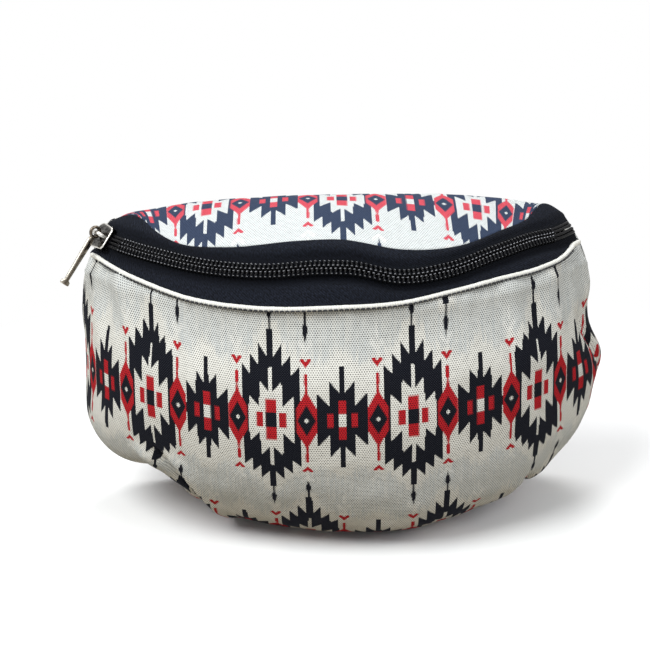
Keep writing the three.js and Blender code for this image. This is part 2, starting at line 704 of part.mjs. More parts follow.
function strapSide(side) {
  const base = backDepth + gap;
  const inner = base + webbing;
  const foldRadius = strapGap / 2;
  const foldCentre = [inner + foldRadius, strapBottom + foldRadius];
  const patchLow = strapTop - strapPatchLength;
  const pile = inner + gap;
  const hook = pile + patch + gap;
  const outer = hook + patch + gap;
  const path = [
    [inner, strapTop],
    [inner, foldCentre[1]],
    ...arcPath(foldCentre, foldRadius, 180, 360, 8).slice(1, -1),
    [inner + strapGap, foldCentre[1]],
    [inner + strapGap, patchLow - 12],
    [outer, patchLow - 2],
    [outer, strapTop],
  ];
  const across = side * strapCentre - webbingWidth / 2;
  const place = (shape) => extruded(shape, webbingWidth).applyMatrix4(lengthwise).translate(across, 0, 0);
  const patchRect = (near) =>
    new THREE.Shape([
      new THREE.Vector2(near, patchLow),
      new THREE.Vector2(near + patch, patchLow),
      new THREE.Vector2(near + patch, strapTop),
      new THREE.Vector2(near, strapTop),
    ]);
  const word = side < 0 ? "left" : "right";
  addPiece(`saddle_strap_${word}`, place(ribbonShape(path, -webbing)), materials.webbing);
  addPiece(`strap_pile_patch_${word}`, place(patchRect(pile)), materials.grip);
  addPiece(`strap_hook_patch_${word}`, place(patchRect(hook)), materials.grip);
}

strapSide(-1);
strapSide(1);

export default group;
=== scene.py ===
# Insulated saddle pouch: the visible surfaces of the bag, laid over its solid frame.
# Lengths are in millimetres and angles in degrees; add_piece() turns them into metres.
import json
import math

import bpy
import numpy as np
from mathutils import Matrix, Vector, noise
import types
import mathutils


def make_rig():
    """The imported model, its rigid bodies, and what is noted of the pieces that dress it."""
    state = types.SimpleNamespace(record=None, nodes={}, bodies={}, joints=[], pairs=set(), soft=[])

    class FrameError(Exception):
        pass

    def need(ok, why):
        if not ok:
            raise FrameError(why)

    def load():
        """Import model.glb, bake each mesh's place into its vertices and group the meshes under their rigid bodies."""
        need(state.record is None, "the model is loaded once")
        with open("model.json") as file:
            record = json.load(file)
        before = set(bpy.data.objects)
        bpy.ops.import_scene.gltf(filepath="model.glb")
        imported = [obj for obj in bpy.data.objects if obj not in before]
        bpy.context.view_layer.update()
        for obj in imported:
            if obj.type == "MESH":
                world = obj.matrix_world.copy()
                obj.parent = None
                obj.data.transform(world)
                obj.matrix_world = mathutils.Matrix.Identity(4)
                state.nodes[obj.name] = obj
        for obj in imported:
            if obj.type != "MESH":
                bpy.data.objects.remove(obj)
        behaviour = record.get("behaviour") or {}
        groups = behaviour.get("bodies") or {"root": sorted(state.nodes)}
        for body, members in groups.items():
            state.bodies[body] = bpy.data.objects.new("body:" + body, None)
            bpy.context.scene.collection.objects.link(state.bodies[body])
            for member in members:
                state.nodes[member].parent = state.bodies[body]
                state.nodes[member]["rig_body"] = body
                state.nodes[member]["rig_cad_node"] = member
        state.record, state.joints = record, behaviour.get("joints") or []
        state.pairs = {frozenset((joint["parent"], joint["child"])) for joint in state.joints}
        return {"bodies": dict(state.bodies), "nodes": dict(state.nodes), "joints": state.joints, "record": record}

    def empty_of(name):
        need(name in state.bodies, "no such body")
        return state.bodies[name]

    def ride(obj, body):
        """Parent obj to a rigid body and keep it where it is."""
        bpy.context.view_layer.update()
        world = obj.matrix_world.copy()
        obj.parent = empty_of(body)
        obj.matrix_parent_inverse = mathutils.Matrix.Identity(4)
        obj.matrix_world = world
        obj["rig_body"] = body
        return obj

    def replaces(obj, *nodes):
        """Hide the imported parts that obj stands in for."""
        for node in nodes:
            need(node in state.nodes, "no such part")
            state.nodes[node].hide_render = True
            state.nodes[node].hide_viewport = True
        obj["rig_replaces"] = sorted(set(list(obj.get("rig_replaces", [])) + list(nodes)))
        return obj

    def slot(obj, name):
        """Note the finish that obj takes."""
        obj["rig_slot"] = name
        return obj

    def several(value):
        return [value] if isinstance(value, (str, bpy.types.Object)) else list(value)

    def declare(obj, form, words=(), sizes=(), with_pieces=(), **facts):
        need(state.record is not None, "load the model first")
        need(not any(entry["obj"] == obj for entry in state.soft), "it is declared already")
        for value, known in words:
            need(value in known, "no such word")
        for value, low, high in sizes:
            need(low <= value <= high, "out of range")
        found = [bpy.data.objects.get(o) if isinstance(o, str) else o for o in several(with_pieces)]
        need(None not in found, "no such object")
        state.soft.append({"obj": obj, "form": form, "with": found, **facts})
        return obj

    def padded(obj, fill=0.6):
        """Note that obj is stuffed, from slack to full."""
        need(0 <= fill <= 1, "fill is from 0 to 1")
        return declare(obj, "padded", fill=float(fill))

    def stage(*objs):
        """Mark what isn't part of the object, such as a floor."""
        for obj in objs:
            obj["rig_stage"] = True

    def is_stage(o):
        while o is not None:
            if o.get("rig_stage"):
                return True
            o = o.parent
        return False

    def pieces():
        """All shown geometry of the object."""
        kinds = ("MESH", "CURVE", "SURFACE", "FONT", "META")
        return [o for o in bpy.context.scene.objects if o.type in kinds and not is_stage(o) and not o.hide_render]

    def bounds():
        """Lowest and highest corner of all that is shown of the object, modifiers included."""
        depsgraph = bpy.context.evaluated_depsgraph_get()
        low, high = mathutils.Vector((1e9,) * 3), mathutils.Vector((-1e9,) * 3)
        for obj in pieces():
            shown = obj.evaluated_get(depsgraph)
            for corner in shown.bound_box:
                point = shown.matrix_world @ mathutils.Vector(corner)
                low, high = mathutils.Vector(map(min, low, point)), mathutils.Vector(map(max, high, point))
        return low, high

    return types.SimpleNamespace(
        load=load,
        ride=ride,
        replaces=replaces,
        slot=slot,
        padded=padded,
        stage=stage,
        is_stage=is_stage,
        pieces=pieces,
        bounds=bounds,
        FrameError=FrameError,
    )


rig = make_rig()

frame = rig.load()
cad_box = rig.bounds()

MM = 0.001
SIDES = ((-1, "left"), (1, "right"))
HALVES = ((-1, "lower"), (1, "upper"))


def sine(angle):
    return math.sin(math.radians(angle))


def cosine(angle):
    return math.cos(math.radians(angle))


# Body of the bag, with the same sizes as its solids
HALF_WIDTH = 120.5
FRONT_DEPTH = 46.8
BACK_DEPTH = 47.0
BELLY_HEIGHT = 62.0
REST_HALF_LENGTH = 32.0
CORNER_FULLNESS = 2.35
SHOULDER_HEIGHT = 100.0
SHOULDER_DROP = 21.0
WRAP_TURN = math.radians(96.0)  # where the sides end, and where the mouth does
SKIN = 1.0
FOAM = 4.0
FOIL = 0.6
GAP = 0.3
SHEET_GAP = 0.75

# Filled shape of the soft front, a few millimetres off its solid
BELLY_BULGE = 7.0
BULGE_TOP = 108.0
UNDERSIDE_DEPTH = 37.0
UNDERSIDE_LEFT = 2.0  # roundness of the underside: 2 is an ellipse, and more is fuller
UNDERSIDE_RIGHT = 2.8

# Mouth and zip band, a cone about one upright axis
MOUTH_HEIGHT = 115.5
MOUTH_SETBACK = 6.8
MOUTH_RADIUS = 142.0
MOUTH_HALF = 56.7
END_TURN = math.radians(79.0)
BAND_WIDTH = 31.0
BAND_SLOPE = 50.0
CHAIN_RAISE = 2.5
BELLY_BLEND = 34.0
WING_BOW = 8.0
PIPING_RADIUS = 1.3

# Top panel
CROWN_RISE = 3.0
CROWN_DOME = 7.0
CORNER_DROP = 8.0

FRONT_Y = -FRONT_DEPTH
AXIS_Y = FRONT_Y + MOUTH_SETBACK + MOUTH_RADIUS
SLANT_RUN = cosine(BAND_SLOPE)
SLANT_RISE = sine(BAND_SLOPE)
BAND_TOP = MOUTH_HEIGHT + BAND_WIDTH * SLANT_RISE
BAND_TOP_RADIUS = MOUTH_RADIUS - BAND_WIDTH * SLANT_RUN
LOWER_HALF = BAND_WIDTH / 2 + CHAIN_RAISE
UPPER_HALF = BAND_WIDTH / 2 - CHAIN_RAISE
CHAIN_RADIUS = MOUTH_RADIUS - LOWER_HALF * SLANT_RUN
CHAIN_HEIGHT = MOUTH_HEIGHT + LOWER_HALF * SLANT_RISE
PANEL_TOP = MOUTH_HEIGHT - PIPING_RADIUS - GAP
SEAM_Y = BACK_DEPTH - SKIN - GAP
FOAM_INSET = SKIN + SHEET_GAP
FOIL_INSET = FOAM_INSET + FOAM + SHEET_GAP
FLOOR_CLEARANCE = 2.5  # the foam stays this much above the outer cloth under the bag
FOAM_END_Y = SEAM_Y - FOAM - GAP
FOIL_END_Y = FOAM_END_Y - FOIL - GAP

# Surface of the bag, as functions of arrays


def stacked(*parts):
    """Coordinates side by side in one array, spread to a common shape."""
    return np.stack(np.broadcast_arrays(*parts), axis=-1)


def ramp(low, high, x):
    """From 0 at low to 1 at high, with soft ends."""
    t = np.clip((x - low) / (high - low), 0, 1)
    return t * t * (3 - 2 * t)


def hump(value, middle, spread):
    return np.exp(-(((value - middle) / spread) ** 2))


def half_width(height):
    drop = np.clip((BELLY_HEIGHT - height) / BELLY_HEIGHT, 0, 1)
    share = (1 - drop**CORNER_FULLNESS) ** (1 / CORNER_FULLNESS)
    lean = np.maximum(0, (height - SHOULDER_HEIGHT) / (BAND_TOP - SHOULDER_HEIGHT))
    return REST_HALF_LENGTH + (HALF_WIDTH - REST_HALF_LENGTH) * share - SHOULDER_DROP * lean**2


def belly_front(turn, height):
    """Depth of the filled bag's front: rounded under the belly, fuller to the right, leaning back above."""
    rest_y = FRONT_Y + UNDERSIDE_DEPTH
    drop = np.clip((BELLY_HEIGHT - height) / BELLY_HEIGHT, 0, 1)
    fullness = UNDERSIDE_LEFT + (UNDERSIDE_RIGHT - UNDERSIDE_LEFT) * ramp(-0.3, 0.5, turn)
    under = rest_y - (rest_y - FRONT_Y + BELLY_BULGE) * (1 - drop**fullness) ** (1 / fullness)
    over = FRONT_Y - BELLY_BULGE * (1 - ramp(BELLY_HEIGHT, BULGE_TOP, height))
    return np.where(height < BELLY_HEIGHT, under, over)


def belly_point(turn, height):
    front = belly_front(turn, height)
    depth = (SEAM_Y - front) / (1 - math.cos(WRAP_TURN))
    return half_width(height) * np.sin(turn), front + depth * (1 - np.cos(turn))


def mouth_point(turn, height):
    radius = MOUTH_RADIUS - np.maximum(0, height - MOUTH_HEIGHT) * SLANT_RUN / SLANT_RISE
    end_x = radius * sine(MOUTH_HALF)
    end_y = AXIS_Y - radius * cosine(MOUTH_HALF)
    x = end_x * np.clip(np.sin(turn) / math.sin(END_TURN), -1, 1)
    arc_y = AXIS_Y - np.sqrt(radius**2 - x**2)
    side = half_width(height)
    t = np.clip((np.abs(turn) - END_TURN) / (WRAP_TURN - END_TURN), 0, 1)
    wing_x = (1 - t) ** 2 * end_x + 2 * t * (1 - t) * (side + 1) + t**2 * side * math.sin(WRAP_TURN)
    wing_y = (1 - t) ** 2 * end_y + 2 * t * (1 - t) * (end_y + WING_BOW) + t**2 * SEAM_Y
    on_wing = np.abs(turn) > END_TURN
    return np.where(on_wing, np.sign(turn) * wing_x, x), np.where(on_wing, wing_y, arc_y)


def section_point(turn, height):
    share = ramp(0, BELLY_BLEND, MOUTH_HEIGHT - height)
    mouth_x, mouth_y = mouth_point(turn, height)
    belly_x, belly_y = belly_point(turn, height)
    return stacked(mouth_x + (belly_x - mouth_x) * share, mouth_y + (belly_y - mouth_y) * share, height)


def crown_height(x, y):
    half = BAND_TOP_RADIUS * sine(MOUTH_HALF)
    across = np.minimum(1, np.abs(x) / half)
    start_y = AXIS_Y - np.sqrt(BAND_TOP_RADIUS**2 - np.minimum(np.abs(x), half) ** 2)
    t = np.clip((y - start_y) / (SEAM_Y - start_y), 0, 1)
    fullness = 1 - across**2
    bump = 2 * t * (1 - t) + 3.4 * t**2 * (1 - t)
    edge = CROWN_RISE * fullness - CORNER_DROP * across**4
    return BAND_TOP + t * edge + CROWN_DOME * bump * np.sqrt(fullness)


def band_point(across, out, turn):
    """A point of the zip band: across the tape (up positive), out from it, and its turn about the axis."""
    radius = CHAIN_RADIUS - across * SLANT_RUN + out * SLANT_RISE
    height = CHAIN_HEIGHT + across * SLANT_RISE + out * SLANT_RUN
    turn = np.radians(turn)
    return stacked(radius * np.sin(turn), AXIS_Y - radius * np.cos(turn), height)


def zip_degrees(length):
    """A length along the zip, in degrees about its axis."""
    return np.degrees(length / CHAIN_RADIUS)


# How the soft band departs from its solid, in millimetres up the band, at turns about its axis
HEM_RISE = [
    (-53.5, 9.0), (-46, 7.0), (-38, 4.8), (-27, 1.4), (-15, 0.3), (0, 1.4), (11, 2.0), (20, 4.4),
    (30, 6.3), (42, 6.4), (48, 7.4), (53.5, 10.5),
]
CHAIN_WAVE = [
    (-56.7, 0), (-50, 0), (-38, -0.3), (-24, -1.5), (-14, -1.0), (-3, 1.3), (2.5, 0.8), (11.6, -4.6),
    (20, -4.2), (32, 0), (42, 1.4), (50, 0), (56.7, 0),
]
EDGE_WAVE = [
    (-56.7, -5.0), (-53, 0.5), (-50, 2.5), (-46, 1.5), (-42, -1.4), (-34, -5.2), (-23, -3.8), (-8, 1.3),
    (1, 1.8), (13, -4.4), (24, -6.3), (37, -2.8), (45, -1.0), (49, 2.0), (52, 3.0), (54.5, 0.5),
    (56.7, -5.0),
]


def eased(turn, places):
    """A smooth curve through (turn, value) places."""
    at, value = np.array(places, dtype=float).T
    slope = np.gradient(value, at)
    turn = np.clip(turn, at[0], at[-1])
    k = np.clip(np.searchsorted(at, turn, side="right") - 1, 0, len(at) - 2)
    span = at[k + 1] - at[k]
    t = (turn - at[k]) / span
    rise = value[k + 1] - value[k]
    lead = slope[k] * span - rise
    trail = -slope[k + 1] * span + rise
    return value[k] + rise * t + t * (1 - t) * (lead * (1 - t) + trail * t)


def ripple(x, y, size, seed):
    """Smooth noise from -1 to 1 over arrays of coordinates, with lumps of about `size`."""
    places = stacked(x, y).reshape(-1, 2)
    flat = [noise.noise(Vector((a / size, b / size, 7.3 * seed + 0.5))) for a, b in places]
    return np.array(flat).reshape(np.shape(x))


# Meshes


class Shape:
    """Points, faces and fabric coordinates of one piece, gathered a patch at a time."""

    def __init__(self, points=(), faces=(), cloth=(0, 0), flip=False):
        self.points = np.zeros((0, 3))
        self.cloth = np.zeros((0, 2))
        self.faces = []
        self.add(points, faces, cloth, flip)

    def add(self, points, faces, cloth=(0, 0), flip=False):
        points = np.reshape(points, (-1, 3))
        cloth = np.broadcast_to(np.reshape(cloth, (-1, 2)), (len(points), 2))
        first = len(self.points)
        self.faces.extend(tuple(i + first for i in face[:: -1 if flip else 1]) for face in faces)
        self.points = np.concatenate([self.points, points])
        self.cloth = np.concatenate([self.cloth, cloth])


def grid_faces(rows, columns, wrap_rows=False, wrap_columns=False):
    faces = []
    for r in range(rows if wrap_rows else rows - 1):
        for c in range(columns if wrap_columns else columns - 1):
            right = (c + 1) % columns
            here = r * columns
            below = (r + 1) % rows * columns
            faces.append((here + c, here + right, below + right, below + c))
    return faces


def tube_faces(rings, sides):
    """Faces of a row of rings, with a cap at each end."""
    faces = grid_faces(rings, sides, wrap_columns=True)
    faces.append(tuple(range(sides))[::-1])
    faces.append(tuple((rings - 1) * sides + k for k in range(sides)))
    return faces


def normals_of(shape):
    """Normals at the points of a surface of four-sided faces."""
    normals = np.zeros_like(shape.points)
    quads = np.array(shape.faces)
    corners = shape.points[quads]
    face_normals = np.cross(corners[:, 2] - corners[:, 0], corners[:, 3] - corners[:, 1])
    for k in range(4):
        np.add.at(normals, quads[:, k], face_normals)
    return normals / np.maximum(np.linalg.norm(normals, axis=1, keepdims=True), 1e-12)


def sculpt(shape, offset):
    """Moves each point along its normal by offset(points, cloth)."""
    shape.points = shape.points + normals_of(shape) * offset(shape.points, shape.cloth)[:, None]


def link_object(name, data):
    thing = bpy.data.objects.new(name, data)
    bpy.context.scene.collection.objects.link(thing)
    return thing


def add_piece(name, shape, material, slot, replaces=(), thickness=0.0, body="bag"):
    """Makes a Blender object from a Shape, in metres, and lets it ride on a body."""
    mesh = bpy.data.meshes.new(name)
    mesh.from_pydata((shape.points * MM).tolist(), [], shape.faces)
    layer = mesh.uv_layers.new(name="cloth")
    corners = np.empty(len(mesh.loops), dtype=np.int32)
    mesh.loops.foreach_get("vertex_index", corners)
    layer.data.foreach_set("uv", (shape.cloth[corners] / CLOTH_UNIT).astype(np.float32).ravel())
    mesh.materials.append(material)
    piece = link_object(name, mesh)
    if thickness:
        wall = piece.modifiers.new("wall", "SOLIDIFY")
        wall.thickness = thickness * MM
        wall.offset = -1
    mesh.shade_smooth()
    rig.ride(piece, body)
    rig.slot(piece, slot)
    if replaces:
        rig.replaces(piece, *replaces)
    return piece


def add_tube(shape, path, radius, sides, closed=False, cloth=(0, 0)):
    """A tube along a path; radius may be one number or one for each point."""
    path = np.asarray(path, dtype=float)
    radii = np.broadcast_to(radius, (len(path),))
    if closed:
        tangents = np.roll(path, -1, axis=0) - np.roll(path, 1, axis=0)
    else:
        tangents = np.gradient(path, axis=0)
    tangents /= np.linalg.norm(tangents, axis=1, keepdims=True)
    start = (0.0, 0.0, 1.0) if abs(tangents[0][2]) < 0.9 else (1.0, 0.0, 0.0)
    side = np.cross(start, tangents[0])
    angles = np.arange(sides) * 2 * math.pi / sides
    rings = []
    for place, tangent, reach in zip(path, tangents, radii):
        side = side - tangent * np.dot(side, tangent)
        side /= np.linalg.norm(side)
        up = np.cross(tangent, side)
        rings.append(place + reach * (np.outer(np.cos(angles), side) + np.outer(np.sin(angles), up)))
    faces = grid_faces(len(path), sides, True, True) if closed else tube_faces(len(path), sides)
    shape.add(rings, faces, cloth, flip=True)


# Node graphs

CLOTH_UNIT = 100.0  # millimetres of fabric to one unit of the "cloth" coordinates


class Value:
    """An output of a node, with arithmetic that adds nodes to its graph."""

    def __init__(self, graph, socket):
        self.graph = graph
        self.socket = socket

    def math(self, operation, b=0.0, c=0.0, clamp=False):
        return self.graph.math(operation, self, b, c, clamp)

    def __add__(self, other):
        return self.math("ADD", other)

    def __sub__(self, other):
        return self.math("SUBTRACT", other)

    def __rsub__(self, other):
        return self.graph.math("SUBTRACT", other, self)

    def __mul__(self, other):
        return self.math("MULTIPLY", other)

    def __abs__(self):
        return self.math("ABSOLUTE")

    def __round__(self):
        return self.math("ROUND")

    def sine(self):
        return self.math("SINE")

    def remap(self, low, high, to_low=0.0, to_high=1.0):
        inputs = {"Value": self, "From Min": low, "From Max": high, "To Min": to_low, "To Max": to_high}
        return self.graph.node("ShaderNodeMapRange", inputs)


class Graph:
    """Short calls for building a node graph."""

    def __init__(self, tree):
        self.tree = tree

    def feed(self, socket, value):
        if isinstance(value, Value):
            self.tree.links.new(value.socket, socket)
        else:
            socket.default_value = value

    def node(self, kind, inputs=(), output=0, **settings):
        """Adds a node and gives one of its outputs."""
        made = self.tree.nodes.new(kind)
        for key, value in settings.items():
            setattr(made, key, value)
        for key, value in dict(inputs).items():
            self.feed(made.inputs[key], value)
        return Value(self, made.outputs[output])

    def math(self, operation, a, b=0.0, c=0.0, clamp=False):
        return self.node("ShaderNodeMath", enumerate((a, b, c)), operation=operation, use_clamp=clamp)

    def noise(self, scale, detail, vector, roughness=0.5):
        inputs = {"Scale": scale, "Detail": detail, "Roughness": roughness, "Vector": vector}
        return self.node("ShaderNodeTexNoise", inputs, "Fac")

    def mix(self, share, a, b):
        return self.node("ShaderNodeMix", {0: share, 6: a, 7: b}, 2, data_type="RGBA")

    def vector(self, x, y):
        return self.node("ShaderNodeCombineXYZ", {"X": x, "Y": y})


class Finish(Graph):
    """A material with its node graph and its surface shader."""

    def __init__(self, name, roughness, metallic=0.0, specular=0.5, sheen=0.0):
        self.material = bpy.data.materials.new(name)
        self.material.use_nodes = True
        super().__init__(self.material.node_tree)
        self.surface = self.tree.nodes["Principled BSDF"]
        self.surface.inputs["Roughness"].default_value = roughness
        self.surface.inputs["Metallic"].default_value = metallic
        self.surface.inputs["Specular IOR Level"].default_value = specular
        self.surface.inputs["Sheen Weight"].default_value = sheen

    def cloth(self):
        """The fabric's own coordinates, across and up, in millimetres."""
        coords = self.node("ShaderNodeUVMap", uv_map="cloth")
        return [self.node("ShaderNodeSeparateXYZ", {"Vector": coords}, k) * CLOTH_UNIT for k in (0, 1)]

    def place(self):
        return self.node("ShaderNodeTexCoord", output="Object")

    def finished(self, colour, height, distance, strength, **others):
        """The material, with this colour and these bumps."""
        bump = {"Height": height, "Distance": distance, "Strength": strength}
        normal = self.node("ShaderNodeBump", bump, "Normal")
        for name, value in {"Base Color": colour, "Normal": normal, **others}.items():
            self.feed(self.surface.inputs[name], value)
        return self.material


def most(first, *rest):
    for value in rest:
        first = first.math("MAXIMUM", value)
    return first


def least(first, *rest):
    for value in rest:
        first = first.math("MINIMUM", value)
    return first


def wrapped(value, period, offset=0.0):
    """Distance from the nearest of the places offset, offset + period, and so on."""
    moved = value - offset
    return abs(moved - round(moved * (1 / period)) * period)


def below(value, limit, softness=0.3):
    """1 where value is under limit and 0 where it is over, with a soft edge."""
    return (limit - value).math("MULTIPLY_ADD", 1 / softness, 0.5, clamp=True)


def outline(x, corners, width, height):
    """A height that follows straight lines between (x, height) corners."""
    curve_node = x.graph.node("ShaderNodeFloatCurve", {"Value": x * (1 / width)})
    mapping = curve_node.socket.node.mapping
    points = mapping.curves[0].points
    places = [(a / width, b / height) for a, b in corners]
    points[0].location = places[0]
    points[1].location = places[-1]
    for place in places[1:-1]:
        points.new(*place)
    for point in points:
        point.handle_type = "VECTOR"
    mapping.update()
    return curve_node * height


def srgb(red, green, blue):
    """A colour as seen on screen, 0 to 255, in linear light."""

    def linear(value):
        value /= 255
        return value / 12.92 if value <= 0.04045 else ((value + 0.055) / 1.055) ** 2.4

    return (linear(red), linear(green), linear(blue), 1.0)


# Printed nylon: rows of serrated diamonds, each row shifted against the next

PRINT_PERIOD = 62.0  # from one large diamond to the next
PRINT_REACH = 56.0  # height that the outlines of a figure run to
ROW_PITCH = 87.0
ROW_SHIFT = 15.5
PRINT_STEP = 0.55  # one thread
WEAVE_CELL = 1.1
WEAVE_ROW = 0.95

CREAM = srgb(236, 235, 228)
PALE = srgb(244, 244, 239)
GREY = srgb(212, 216, 215)
NAVY = srgb(13, 15, 24)
RED = srgb(190, 30, 38)
# The top panel's colours: navy and red lighter than the front's, as painted light from above.
TOP_CREAM = srgb(217, 221, 221)
TOP_NAVY_PAINTED_LIGHT = srgb(52, 64, 88)
TOP_RED_PAINTED_LIGHT = srgb(212, 80, 94)
# Painted shade for the gaps of the weave, and a painted highlight for the thread crests
PAINTED_GAP_SHADE = (0.0, 0.0, 0.004, 1.0)
PAINTED_CREST_HIGHLIGHT = (0.9, 0.95, 1.0, 1.0)
WHITE = (1.0, 1.0, 1.0, 1.0)

# Upper outlines of the figures as (distance from the middle, height); each is mirrored both ways
LARGE_NAVY = [
    (0, 39.6), (1.45, 39.6), (1.55, 27.8), (5, 33), (5.2, 32.6), (5.25, 23.8),
    (8.9, 28.2), (9.1, 27.9), (9.15, 19.7), (12.7, 23.5), (13, 23.2), (13.1, 0), (31, 0),
]
LARGE_STAR = [
    (0, 23.1), (0.7, 23.1), (0.8, 12.4), (4.7, 16.6), (4.9, 16.3), (5.1, 5.6), (9.7, 10.3), (9.95, 10),
    (10, 0), (31, 0),
]
SMALL_NAVY = [
    (0, 23.6), (1.15, 23.6), (1.25, 12.3), (5.2, 17), (5.4, 16.6), (5.45, 6.4), (10.6, 11.8),
    (10.8, 11.4), (10.85, 0), (31, 0),
]
SPIKE = [(0, -1), (38, -1), (38.2, 0.5), (44.6, 0.5), (46.6, 1.2), (49, 1.05), (53.4, 0), (56, -0.2)]
LOZENGE_RED = [
    (0, 4.7), (5.2, 4.7), (11.6, 0.95), (14.5, 0.65), (16, 1), (20.4, 0.9), (20.7, 0), (22.7, 0),
    (26.2, 2.7), (27.2, 2.2), (27.3, 0), (50, 0),
]
HEART_DIP = [(0, 0), (25.3, 0), (27.2, 1.3), (50, 1.3)]
GHOST = [(0, 0), (29, 0), (33, 3.4), (35, 3.1), (35.2, 0.7), (42, 0.6), (42.2, 0), (50, 0)]
GHOST_DIP = [(0, 0), (31.5, 0), (35.2, 2.2), (35.4, 0), (50, 0)]
HALO_TOP = [
    (0, 46), (3, 45), (8, 35), (13, 31), (15.5, 34), (18, 29), (23, 27), (28, 33), (31, 35),
]


def print_colour(graph, across, up, greyness, cream, navy, red):
    half = PRINT_PERIOD / 2
    streaks = graph.noise(1.0, 4.0, graph.vector(across * 1.7, up * 0.02), 0.7)
    ground = graph.mix(streaks.remap(0.38, 0.72, 1.0 - greyness, 0.85), GREY, cream)
    row = round(up * (1 / ROW_PITCH))
    odd = row.math("PINGPONG", 1.0)
    next_across = across - (1.0 - odd) * ROW_SHIFT
    across = across - odd * ROW_SHIFT
    up = up - row * ROW_PITCH
    y = abs(up)
    large = wrapped(across, PRINT_PERIOD, half)
    small = wrapped(across, PRINT_PERIOD)
    lozenge = wrapped(across, half, half / 2)

    def under(x, corners):
        return below(y, outline(x, corners, half, PRINT_REACH))

    def beside(corners):
        return below(lozenge + 0.2, outline(y, corners, PRINT_REACH, half))

    def block(x, high, top, low=-9, base=-9):
        """A rectangle from low to high and from base to top; -9 is well past the middle."""
        return least(below(x, high), below(low, x), below(y, top), below(base, y))

    def spike(x, distance):
        return below(x, outline(distance, SPIKE, PRINT_REACH, half))

    figures = most(
        under(large, LARGE_NAVY), under(small, SMALL_NAVY), spike(large, y),
        spike(wrapped(next_across, PRINT_PERIOD, half), ROW_PITCH - y),
    )
    crosses = most(
        block(large, 2.35, 9.1), block(large, 6.65, 3.2, low=3.55),
        block(small, 1.75, 8.7, base=2.9), block(small, 6.5, 3.0, low=4.0),
    )
    streak = graph.noise(1.0, 3.0, graph.vector(across * 1.5, up * 0.04))
    halo_top = outline(large, HALO_TOP, half, PRINT_REACH)
    colour = graph.mix(below(y, halo_top + (streak - 0.62) * 26.0, 3.0), ground, cream)
    for mask, paint in (
        ((beside(GHOST) - beside(GHOST_DIP)) * 0.6, PALE),
        (figures, navy),
        (under(large, LARGE_STAR), cream),
        (beside(LOZENGE_RED) - beside(HEART_DIP), red),
        (below(lozenge * (1 / 4.1) + y * (1 / 6.9), 1.0, 0.12), navy),
        (below(lozenge + y, 1.1), cream),
        (crosses, red),
        (block(large, 2.4, 3.3), navy),
        (block(small, 1.7, 2.9), cream),
    ):
        colour = graph.mix(mask, colour, paint)
    return colour


def weave_height(across, up, cell):
    """Plain weave: positive where the upright thread lies on top, negative where the cross thread does."""
    return (across * (math.pi / cell)).sine() * (up * (math.pi / cell)).sine()


def weave_dots(across, up):
    """1 in the small gaps between the threads, which lie in staggered rows."""
    row = round(up * (1 / WEAVE_ROW))
    aside = wrapped(across - row.math("PINGPONG", 1.0) * (WEAVE_CELL / 2), WEAVE_CELL)
    spread = aside * (2.6 / WEAVE_CELL) + wrapped(up, WEAVE_ROW) * (2.3 / WEAVE_ROW)
    return below(spread, 0.95, 0.6)


def stepped(value):
    """Rounds a place to the middle of its thread, because dye follows the threads."""
    return ((value * (1 / PRINT_STEP)).math("FLOOR") + 0.5) * PRINT_STEP


def printed_nylon(name, greyness, cream, navy, red, depth):
    """The print on plain weave, with painted shade in its gaps, darker than the threads beside them by up to `depth`,
    and a faint painted highlight on the thread crests.
    """
    finish = Finish(name, 0.8, specular=0.06)
    across, up = finish.cloth()
    colour = print_colour(finish, stepped(across), stepped(up), greyness, cream, navy, red)
    dots = weave_dots(across, up)
    uneven = finish.noise(0.35, 3.0, finish.vector(across, up))
    # Painted shade in the gaps between the threads.
    colour = finish.mix(dots * uneven.remap(0.3, 0.7, 0.6 * depth, depth), colour, PAINTED_GAP_SHADE)
    # Painted highlight on the crests of the threads.
    crests = weave_height(across, up, WEAVE_CELL / 2).remap(0.1, 0.9)
    colour = finish.mix(crests * 0.035, colour, PAINTED_CREST_HIGHLIGHT)
    return finish.finished(colour, 1.0 - dots, 0.00022, 0.7)


def plain_cloth(name, colour, lighter, cell):
    """A plain woven cloth of one colour, with lighter threads and slow unevenness."""
    finish = Finish(name, 0.8, specular=0.25, sheen=0.2)
    across, up = finish.cloth()
    weave = weave_height(across, up, cell)
    speckle = finish.noise(2.2, 3.0, finish.vector(across, up))
    share = weave.remap(-1, 1, 0.0, 0.45) + speckle.remap(0.3, 0.8, 0.0, 0.5)
    return finish.finished(finish.mix(share, colour, lighter), abs(weave), 0.0002, 0.8)


def felted(name, colour, lighter, pitch):
    """Dense dark tape: a mottled twill with no plain weave to be seen, with painted shade near the chain."""
    finish = Finish(name, 0.9, specular=0.12)
    across, along = finish.cloth()
    slant = along * 0.8 + across
    mottle = finish.noise(1.0, 4.0, finish.vector(along * 1.3, slant * 0.9), 0.75)
    twill = abs((slant * (math.pi / pitch)).sine())
    # Painted shade: the tape is darker within a few millimetres of the chain, where the chain shades it.
    shade = abs(across).remap(4.0, 11.0, 0.3, 1.0)
    share = mottle.remap(0.38, 0.68) * twill.remap(0.0, 1.0, 0.55, 1.0) * shade
    return finish.finished(finish.mix(share, colour, lighter), mottle + twill, 0.00025, 0.8)


def ribbed_cloth(name, colour, lighter, pitch):
    """Webbing: ribs along its length, crossed by short slanted stitches."""
    finish = Finish(name, 0.85, specular=0.2, sheen=0.25)
    across, along = finish.cloth()
    ribs = across * (math.pi / pitch)
    stitch = abs((along * (math.pi / (0.6 * pitch)) + ribs).sine())
    height = abs(ribs.sine()) * 0.6 + stitch * 0.4
    speckle = finish.noise(1.6, 3.0, finish.vector(across, along))
    share = height * speckle.remap(0.3, 0.8, 0.2, 1.0)
    return finish.finished(finish.mix(share, colour, lighter), height, 0.0005, 0.9)


